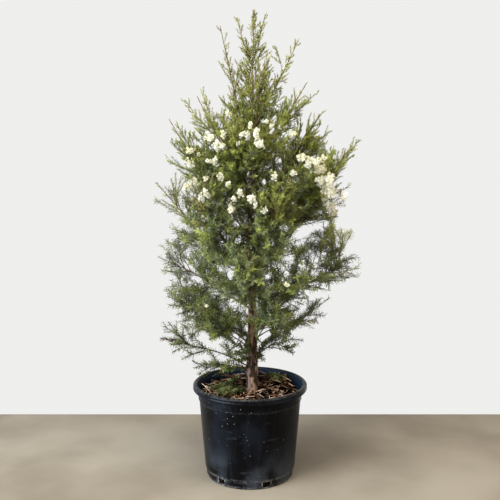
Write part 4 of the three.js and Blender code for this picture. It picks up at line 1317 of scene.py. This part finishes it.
finest = twiglets(fine, draws, (34 * MM, 18 * MM), (48 * MM, 22 * MM), (0.75, 0.6), 0.2, 0.05)
finest = trimmed(finest[draws.random(len(finest)) < 0.5], 8 * MM, draws, (-30 * MM, 10 * MM))


def twig_finish(name, first, second):
    """A thin twig's skin: two tones along it, and fine wrinkles."""
    finish = Finish(name, Specular_IOR_Level=0.3)
    bands = finish.grain(9 * MM)
    colour = finish.mixed(finish.step(bands, 0.35, 0.65), first, second)
    finish.wear(colour, bands * 0.2 + 0.6, finish.grain(1 * MM), 0.3 * MM)
    return finish


masses = [f"foliage_{limb['name']}" for limb in limbs]
brown_twig = twig_finish("brown_twig", (0.12, 0.08, 0.043), (0.19, 0.14, 0.074))
green_twig = twig_finish("green_twig", (0.13, 0.092, 0.042), (0.105, 0.115, 0.042))
for name, shoots, sides, rings, finish in (
    ("side_shoots", side, 5, 9, brown_twig),
    ("twiglets", fine, 3, 4, green_twig),
    ("finest_twiglets", finest, 3, 3, green_twig),
):
    twig_points, twig_faces = tubes(shoots, sides, np.linspace(0, 1, rings))
    add_piece(name, twig_points, twig_faces, finish, masses)


# Leaves. They are narrow and pointed, in pairs at right angles to each other, forty to sixty to a hand's
# breadth of twig, and they lie forward along it. Whole sprays differ: blue green and deep green low down
# and inside, fresher above, olive at the top, and yellow green where a shoot is young. The deep green
# inside the crown and low on the left is painted shade, the fresh and young green on the right and at the
# ends of outer shoots is partly painted light, and each green runs between a painted shaded and a painted
# lit tone.
LEAF_STEP = (3.7 * MM, 2.6 * MM)
LEAF_LENGTH = (20.5 * MM, 10.5 * MM)
LEAF_WIDTH = 2.5 * MM
LEAF_OUTLINE = ((0, 0), (0.26, -1), (0.26, 1), (0.68, -0.8), (0.68, 0.8), (1, 0))
LEAF_FACES = [[0, 2, 1], [1, 2, 4], [1, 4, 3], [3, 4, 5]]
GREENS = {
    "deep": ((0.053, 0.063, 0.014), (0.093, 0.106, 0.023)),
    "blue": ((0.07, 0.084, 0.039), (0.12, 0.139, 0.062)),
    "mid": ((0.09, 0.103, 0.024), (0.162, 0.175, 0.04)),
    "fresh": ((0.15, 0.174, 0.027), (0.243, 0.266, 0.043)),
    "olive": ((0.16, 0.146, 0.03), (0.24, 0.216, 0.052)),
    "young": ((0.24, 0.255, 0.06), (0.35, 0.36, 0.1)),
}

# The share of the sprays in each green, by height: the foot, the middle, the blossom, the upper crown and
# the top.
GREEN_HEIGHTS = MM * np.array([400, 800, 1080, 1260, 1420])
GREEN_SHARES = np.array([
    [0.32, 0.27, 0.28, 0.07, 0.04],
    [0.42, 0.36, 0.12, 0.04, 0.02],
    [0.20, 0.22, 0.22, 0.19, 0.12],
    [0.04, 0.06, 0.26, 0.46, 0.20],
    [0.02, 0.04, 0.08, 0.16, 0.44],
    [0.03, 0.035, 0.05, 0.08, 0.10],
])


def deal_greens(shoots, draws):
    """Each shoot's green, as a number. Neighbouring shoots draw alike, by noise at their tips: it picks
    from the shares for their height. More deep green inside the crown and low on the left is painted shade;
    more fresh and young green on the right is painted light, and more young green at the crown's outside is
    partly painted light."""
    x, y, z = shoots.tip.T
    shares = np.stack([np.interp(z, GREEN_HEIGHTS, row) for row in GREEN_SHARES], -1)
    depth = np.hypot(x, y) / crown_reach(shoots.tip)
    lower = 1 - smooth_share(z, 0.66, 0.85)
    inside = 1 - smooth_share(depth, 0.45, 0.85)
    # Painted shade: more deep green inside the crown and low on the left.
    inner_shade = between((4.5, 2), smooth_share(z, *UPPER_STARTS)) * inside
    low_left_shade = 4.5 * lower * smooth_share(-x, -60 * MM, 80 * MM)
    shares[:, 0] *= 1 + inner_shade + low_left_shade
    # Painted light: more fresh and young green on the right, and more young green at the crown's outside.
    painted_sunlight = smooth_share(x, 30 * MM, 130 * MM) * smooth_share(z, 1.15, 1.25)
    painted_sunlight = np.maximum(painted_sunlight, smooth_share(x, 190 * MM, 290 * MM) * smooth_share(z, 0.6, 0.75))
    shares[:, 3] *= 1 + 2 * painted_sunlight
    shares[:, 5] *= (0.2 + 2.2 * smooth_share(depth, 0.75, 1)) * (1 + 4 * painted_sunlight)
    limits = np.cumsum(shares, 1) / shares.sum(1, keepdims=True)
    patch = rough(x / (60 * MM) + 13, z / (60 * MM) + y / (45 * MM), 31) * 0.5 + 0.5
    pick = np.clip(0.5 * patch + 0.5 * draws.random(len(shoots)), 0, 0.999)
    return (pick[:, None] > limits).sum(1)


# The number of the lighter green that the young end of an outer shoot has, for each green of the rest of
# it: partly young growth and partly a painted highlight on the crown's outside.
LIGHTER = np.array([2, 2, 3, 5, 4, 5])


def leaves_on(shoots, draws, bare, size):
    """Leaves in pairs along shoots, with the number of each leaf's shoot and how far along it stands.
    Each is a lens of four faces from its root to its point, two corners wide at a quarter and at two
    thirds, and it curves outward by the square of the way along it."""
    step = between(LEAF_STEP, smooth_share(shoots.tip[:, 2], 0.95, 1.4))
    step = step * between((0.66, 1), smooth_share(shoots.tip[:, 2], *SKIRT_FADES))
    which, order, places = shoots.numbered(bare, step, 2)
    pair = order // 2
    t = bare + (1 - bare) * (pair + 0.7 + draws.uniform(-0.3, 0.3, len(which))) / places
    t = np.clip(t, 0, 1)
    root, heading, level, rise = shoots.at(which, t)
    turn = pair * TURN / 4 + (order % 2) * TURN / 2 + which * 0.9 + draws.normal(0, 0.25, len(which))
    height = smooth_share(root[:, 2], 0.8, 1.3)
    closer = between((1, between((0.9, 0.65), height)), t)
    shorter = between((1, between((0.8, 0.6), height)), t**2)
    spread = between((1.15, 0.72), height) * closer * draws.uniform(0.75, 1.2, len(which))
    long = size * between(LEAF_LENGTH, height) * shorter
    in_skirt = 1 - smooth_share(root[:, 2], *SKIRT_FADES)
    long = long * draws.uniform(0.75, 1.15, len(which)) * (1 - 0.14 * in_skirt)
    wide = LEAF_WIDTH * between((1, 0.74), height) * draws.uniform(0.8, 1.15, len(which)) / 2
    wide = wide * (1 + 0.35 * in_skirt)
    turn, spread, long, wide = (value[:, None] for value in (turn, spread, long, wide))
    outward = towards(level, rise, turn)
    ahead = towards(heading, outward, spread)
    flat = unit(np.cross(heading, outward) + 0.5 * draws.normal(0, 1, (len(which), 1)) * outward)
    flat = unit(flat - ahead * (flat * ahead).sum(-1, keepdims=True))
    curl = np.cross(flat, ahead) * draws.normal(0.12, 0.06, (len(which), 1)) * long
    points = [
        root + ahead * long * share + curl * share**2 + flat * wide * edge for share, edge in LEAF_OUTLINE
    ]
    return np.stack(points, 1), which, t


# How far round a head of blossom, and how far behind and in front of its foot, no leaf ends.
CLEAR_BESIDE = 15 * MM
CLEAR_BEFORE = (-10 * MM, 110 * MM)


def left_out(ends, kept, draws):
    """Leaves that aren't there: those that would end in an opening, too near the pot, or in front of a
    blossom. Where `kept` is true the small gaps keep theirs, and the openings keep more."""
    grow = np.where(kept, 0.5, draws.uniform(0.7, 1, len(ends)))
    gone = in_opening(ends, grow, np.where(kept, TOP, SOLID_BELOW)) | in_window(ends, draws)
    gone |= ends[:, 2] < LOWEST_LEAF - 4 * MM
    for head in heads:
        near = ends - head
        out = near @ unit(head * [1, 1, 0])
        aside = np.sqrt(np.maximum((near * near).sum(-1) - out * out, 0))
        gone |= (aside < CLEAR_BESIDE) & (out > CLEAR_BEFORE[0]) & (out < CLEAR_BEFORE[1])
    return gone


# The shoots that carry leaves, with the share that is bare, the leaves' size, and whether they're stems.
low = stems.tip[:, 2] < SKIRT_TOP
low_side = side.tip[:, 2] < SKIRT_TOP
side_tops = side[~low_side]
leafy = [
    (stem_parents[~spires & ~low], 0.5, 1.0, True),
    (stem_parents[low], 0.1, 1.05, True),
    (stem_parents[spires], 0.2, 0.9, True),
    (side[low_side], 0.06, 1.0, False),
    (side_tops, 0.2, 1.0, False),
    (fine, 0.06, 1.0, False),
    (finest, 0.1, 0.85, False),
]
leaf_points, leaf_greens = [], []
for shoots, bare, size, is_stem in leafy:
    greens = deal_greens(shoots, draws)
    points, which, t = leaves_on(shoots, draws, bare, size)
    at_end = (t > 0.72) & (shoots is side_tops)
    there = ~left_out(points[:, 5], shoots.leading()[which] | is_stem | at_end, draws)
    points, which, t = points[there], which[there], t[there]
    # Partly painted highlight: the ends of shoots near the crown's outside take the lighter green.
    outer = smooth_share(np.hypot(*shoots.tip.T[:2]) / crown_reach(shoots.tip), 0.55, 0.9)[which]
    likely = between((0.25, 0.6), smooth_share(shoots.tip[:, 2], 0.5, 0.9))[which]
    fresh = draws.random(len(which)) < likely * outer * smooth_share(t, 0.6, 0.95)
    leaf_points.append(points)
    leaf_greens.append(np.where(fresh, LIGHTER[greens[which]], greens[which]))
leaf_points, leaf_greens = np.concatenate(leaf_points), np.concatenate(leaf_greens)


def leaf_finish(name, shaded, lit):
    """A leaf's skin: dull, with the green running between a painted shaded tone and a painted lit tone from
    one spray to the next.
    """
    finish = Finish(name, Specular_IOR_Level=0.14)
    colour = finish.mixed(finish.patches(0.34, 0.66, 26 * MM, EVEN, 2), shaded, lit)
    finish.wear(colour, finish.grain(8 * MM) * 0.2 + 0.45, finish.grain(2 * MM), 0.2 * MM)
    return finish


def add_leaves(name, leaves, finish, replaced):
    """A piece of leaves, from their points."""
    faces = repeated(LEAF_FACES, len(LEAF_OUTLINE), len(leaves))
    add_piece(name, leaves.reshape(-1, 3), [faces], finish, replaced)


MOST_LEAVES = 48000
for number, (name, tones) in enumerate(GREENS.items()):
    finish = leaf_finish(f"{name}_leaf", *tones)
    own = leaf_points[leaf_greens == number]
    for part, start in enumerate(range(0, len(own), MOST_LEAVES), 1):
        add_leaves(f"leaves_{name}_{part}", own[start : start + MOST_LEAVES], finish, masses)


# Clippings. Cut twigs of the tree's own foliage lie on the mulch, their leaves darker and duller than on
# the tree: a heap in front of the trunk on the left, and a smaller one behind it on the right.

# Each heap's middle, its half widths and its number of twigs.
CLIPPINGS = [(-84, -4, 44, 52, 15), (106, 126, 28, 20, 8)]
clip_draws = np.random.default_rng(61)
for number, (x, y, wide, deep, count) in enumerate(CLIPPINGS, 1):
    turn, lie = clip_draws.uniform(0, TURN, count), clip_draws.uniform(0, TURN, count)
    away = np.sqrt(clip_draws.random(count))
    middle = MM * np.stack([x + wide * away * np.cos(turn), y + deep * away * np.sin(turn)], -1)
    half = 0.5 * clip_draws.uniform(60, 110, count)[:, None] * MM
    half = half * np.stack([np.cos(lie), np.sin(lie)], -1)
    ends = []
    for place in (middle - half, middle, middle + half):
        radius = np.linalg.norm(place, axis=1, keepdims=True)
        place = place * np.minimum(1, 160 * MM / radius)
        above = clip_draws.uniform(5, 14, count) * MM
        ends.append(np.concatenate([place, (mulch_height(*place.T) + above)[:, None]], 1))
    cut = Shoots(ends[0], ends[1] + UP * 8 * MM, ends[2], 1.1 * MM, 0.5 * MM, 2 * MM)
    cut_points, cut_faces = tubes(cut, 4, np.linspace(0, 1, 7))
    add_piece(f"clipped_twigs_{number}", cut_points, cut_faces, green_twig, ["potting_mix"])
    clipped = leaf_finish(f"clipped_leaf_{number}", (0.042, 0.052, 0.014), (0.16, 0.18, 0.055))
    cut_leaves = leaves_on(cut, clip_draws, 0.05, 0.8)[0]
    add_leaves(f"clipped_leaves_{number}", cut_leaves, clipped, ["potting_mix"])


# Blossom. Soft bottlebrush heads, as long as a thumb joint, stand in loose groups on the outer shoots of
# the middle and upper crown: each is a short spike of flowers hidden in white threads. Most are fresh and
# creamy white, and some are going over.

# Knobs of flowers to a head, and threads to a knob.
KNOBS = 12
THREADS = 32


def shape_heads(feet, ways, sizes, draws, long=27 * MM, radius=7.2 * MM):
    """Heads of knobs round a spike, turned by the golden turn from one to the next. A knob is threads
    that run out from its middle every way, each a thin blade of two faces with its widest place near its
    end."""
    count = len(feet)
    size = sizes[:, None] * draws.uniform(0.85, 1.15, (count, 1))
    order = np.arange(KNOBS)[None]
    along = (order + draws.uniform(0, 1, (count, KNOBS))) / KNOBS - 0.35
    turn = order * GOLDEN_TURN + draws.uniform(0, TURN, (count, 1))
    level, rise = crossways(ways)
    aside = towards(level[:, None], rise[:, None], turn[..., None])
    out = draws.uniform(0.35, 1.15, (count, KNOBS)) * radius * size
    middle = feet[:, None] + ways[:, None] * (along * long * size)[..., None] + aside * out[..., None]
    thread = unit(draws.normal(0, 1, (count, KNOBS, THREADS, 3)) + 0.6 * aside[:, :, None])
    thread = thread * (radius * size * draws.uniform(0.6, 1.1, (count, KNOBS)))[..., None, None]
    beside = unit(np.cross(thread, draws.normal(0, 1, thread.shape))) * 0.8 * MM
    start = middle[:, :, None] + 0 * thread
    widest = start + 0.75 * thread
    points = np.stack([start, widest - beside, widest + beside, start + thread], 3)
    return points.reshape(-1, 3), [repeated([[0, 1, 2], [1, 3, 2]], 4, count * KNOBS * THREADS)]


def blossom_finish(name, white, shade):
    """Fine threads: creamy white, in patches by noise with a yellower tone of painted shade."""
    finish = Finish(name, Specular_IOR_Level=0.2)
    tufts = finish.grain(7 * MM, detail=2)
    colour = finish.mixed(finish.step(tufts, 0.3, 0.6), shade, white)
    finish.wear(colour, tufts * 0.1 + 0.7, tufts, 0.5 * MM)
    return finish


outward = unit(heads * [1, 1, 0])
ways = unit(outward * 0.7 + UP * 0.6 + blossom_draws.normal(0, 0.5, heads.shape))
for name, chosen, white, shade in (
    ("blossom_white", ~older, (0.8, 0.775, 0.64), (0.66, 0.62, 0.44)),
    ("blossom_cream", older, (0.74, 0.7, 0.51), (0.6, 0.55, 0.36)),
):
    head_points, head_faces = shape_heads(heads[chosen], ways[chosen], head_sizes[chosen], blossom_draws)
    finish = blossom_finish(name, white, shade)
    bearers = [masses[stem] for stem in np.unique(distances_to_stems(heads[chosen]).argmin(1))]
    add_piece(name, head_points, head_faces, finish, bearers)


# Floor and light. The tree stands on a pale floor before a white ground that has no edge, under four wide
# soft lamps: two cool ones on the left, a warm one on the right and one above.
def flat_sheet(name, half, back, height, finish):
    """A flat staged quad that reaches `half` to the sides and the front, and `back` to the back."""
    mesh = bpy.data.meshes.new(name)
    corners = [(x, y, height) for x, y in ((-half, -half), (half, -half), (half, back), (-half, back))]
    mesh.from_pydata(corners, [], [(0, 1, 2, 3)])
    mesh.materials.append(finish.material)
    sheet = placed(name, mesh)
    sheet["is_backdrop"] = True


WHITE = (0.86, 0.86, 0.85)
white_ground = Finish("white_ground", Base_Color=(0, 0, 0, 1), Roughness=1.0, Specular_IOR_Level=0.0)
white_ground.shader.inputs["Emission Color"].default_value = (*WHITE, 1)
white_ground.shader.inputs["Emission Strength"].default_value = 1
flat_sheet("ground", 60, 60, -4 * MM, white_ground)
floor_finish = Finish("pale_floor", Specular_IOR_Level=0.3)
patches = floor_finish.grain(0.5, detail=5)
floor_finish.wear(
    floor_finish.mixed(floor_finish.step(patches, 0.3, 0.7), (0.16, 0.13, 0.093), (0.245, 0.21, 0.158)),
    patches * 0.2 + 0.6,
    floor_finish.grain(3 * MM),
    0.4 * MM,
)
flat_sheet("floor", 14, 0.6, -0.5 * MM, floor_finish)

# The sky is the white ground's white, and dims overhead to leave the shading to the lamps.
world = bpy.data.worlds.new("world")
bpy.context.scene.world = world
world.use_nodes = True
sky = world.node_tree.nodes["Background"]
way = world.node_tree.nodes.new("ShaderNodeTexCoord").outputs["Generated"]
height = world.node_tree.nodes.new("ShaderNodeSeparateXYZ")
overhead = world.node_tree.nodes.new("ShaderNodeMapRange")
for name, value in (("From Min", 0.35), ("From Max", 0.8), ("To Min", 1), ("To Max", 0.3)):
    overhead.inputs[name].default_value = value
world.node_tree.links.new(way, height.inputs[0])
world.node_tree.links.new(height.outputs["Z"], overhead.inputs["Value"])
world.node_tree.links.new(overhead.outputs[0], sky.inputs["Strength"])
sky.inputs["Color"].default_value = (*WHITE, 1)
bpy.context.scene.view_settings.view_transform = "Standard"

# Each lamp's place, width, power and colour. All of them face the crown's middle.
LAMPS = [
    ("left_lamp", (-2.2, -2.4, 2.5), 1.4, 125, (0.97, 0.98, 1.0)),
    ("window_lamp", (-3.7, -2.0, 1.3), 2.7, 345, (0.66, 0.82, 1.0)),
    ("right_lamp", (2.4, -1.6, 3.0), 1.6, 66, (1.0, 0.9, 0.74)),
    ("top_lamp", (-0.3, -0.9, 3.4), 1.6, 110, (1.0, 0.98, 0.94)),
]
for name, place, size, power, colour in LAMPS:
    lamp = placed(name, bpy.data.lights.new(name, "AREA"))
    lamp.data.size = size
    lamp.data.energy = power
    lamp.data.color = colour
    lamp.location = place
    x, y, z = np.array([0, 0, 0.9]) - place
    lamp.rotation_euler = (math.atan2(math.hypot(x, y), -z), 0, math.atan2(y, x) - math.pi / 2)

low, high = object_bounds()
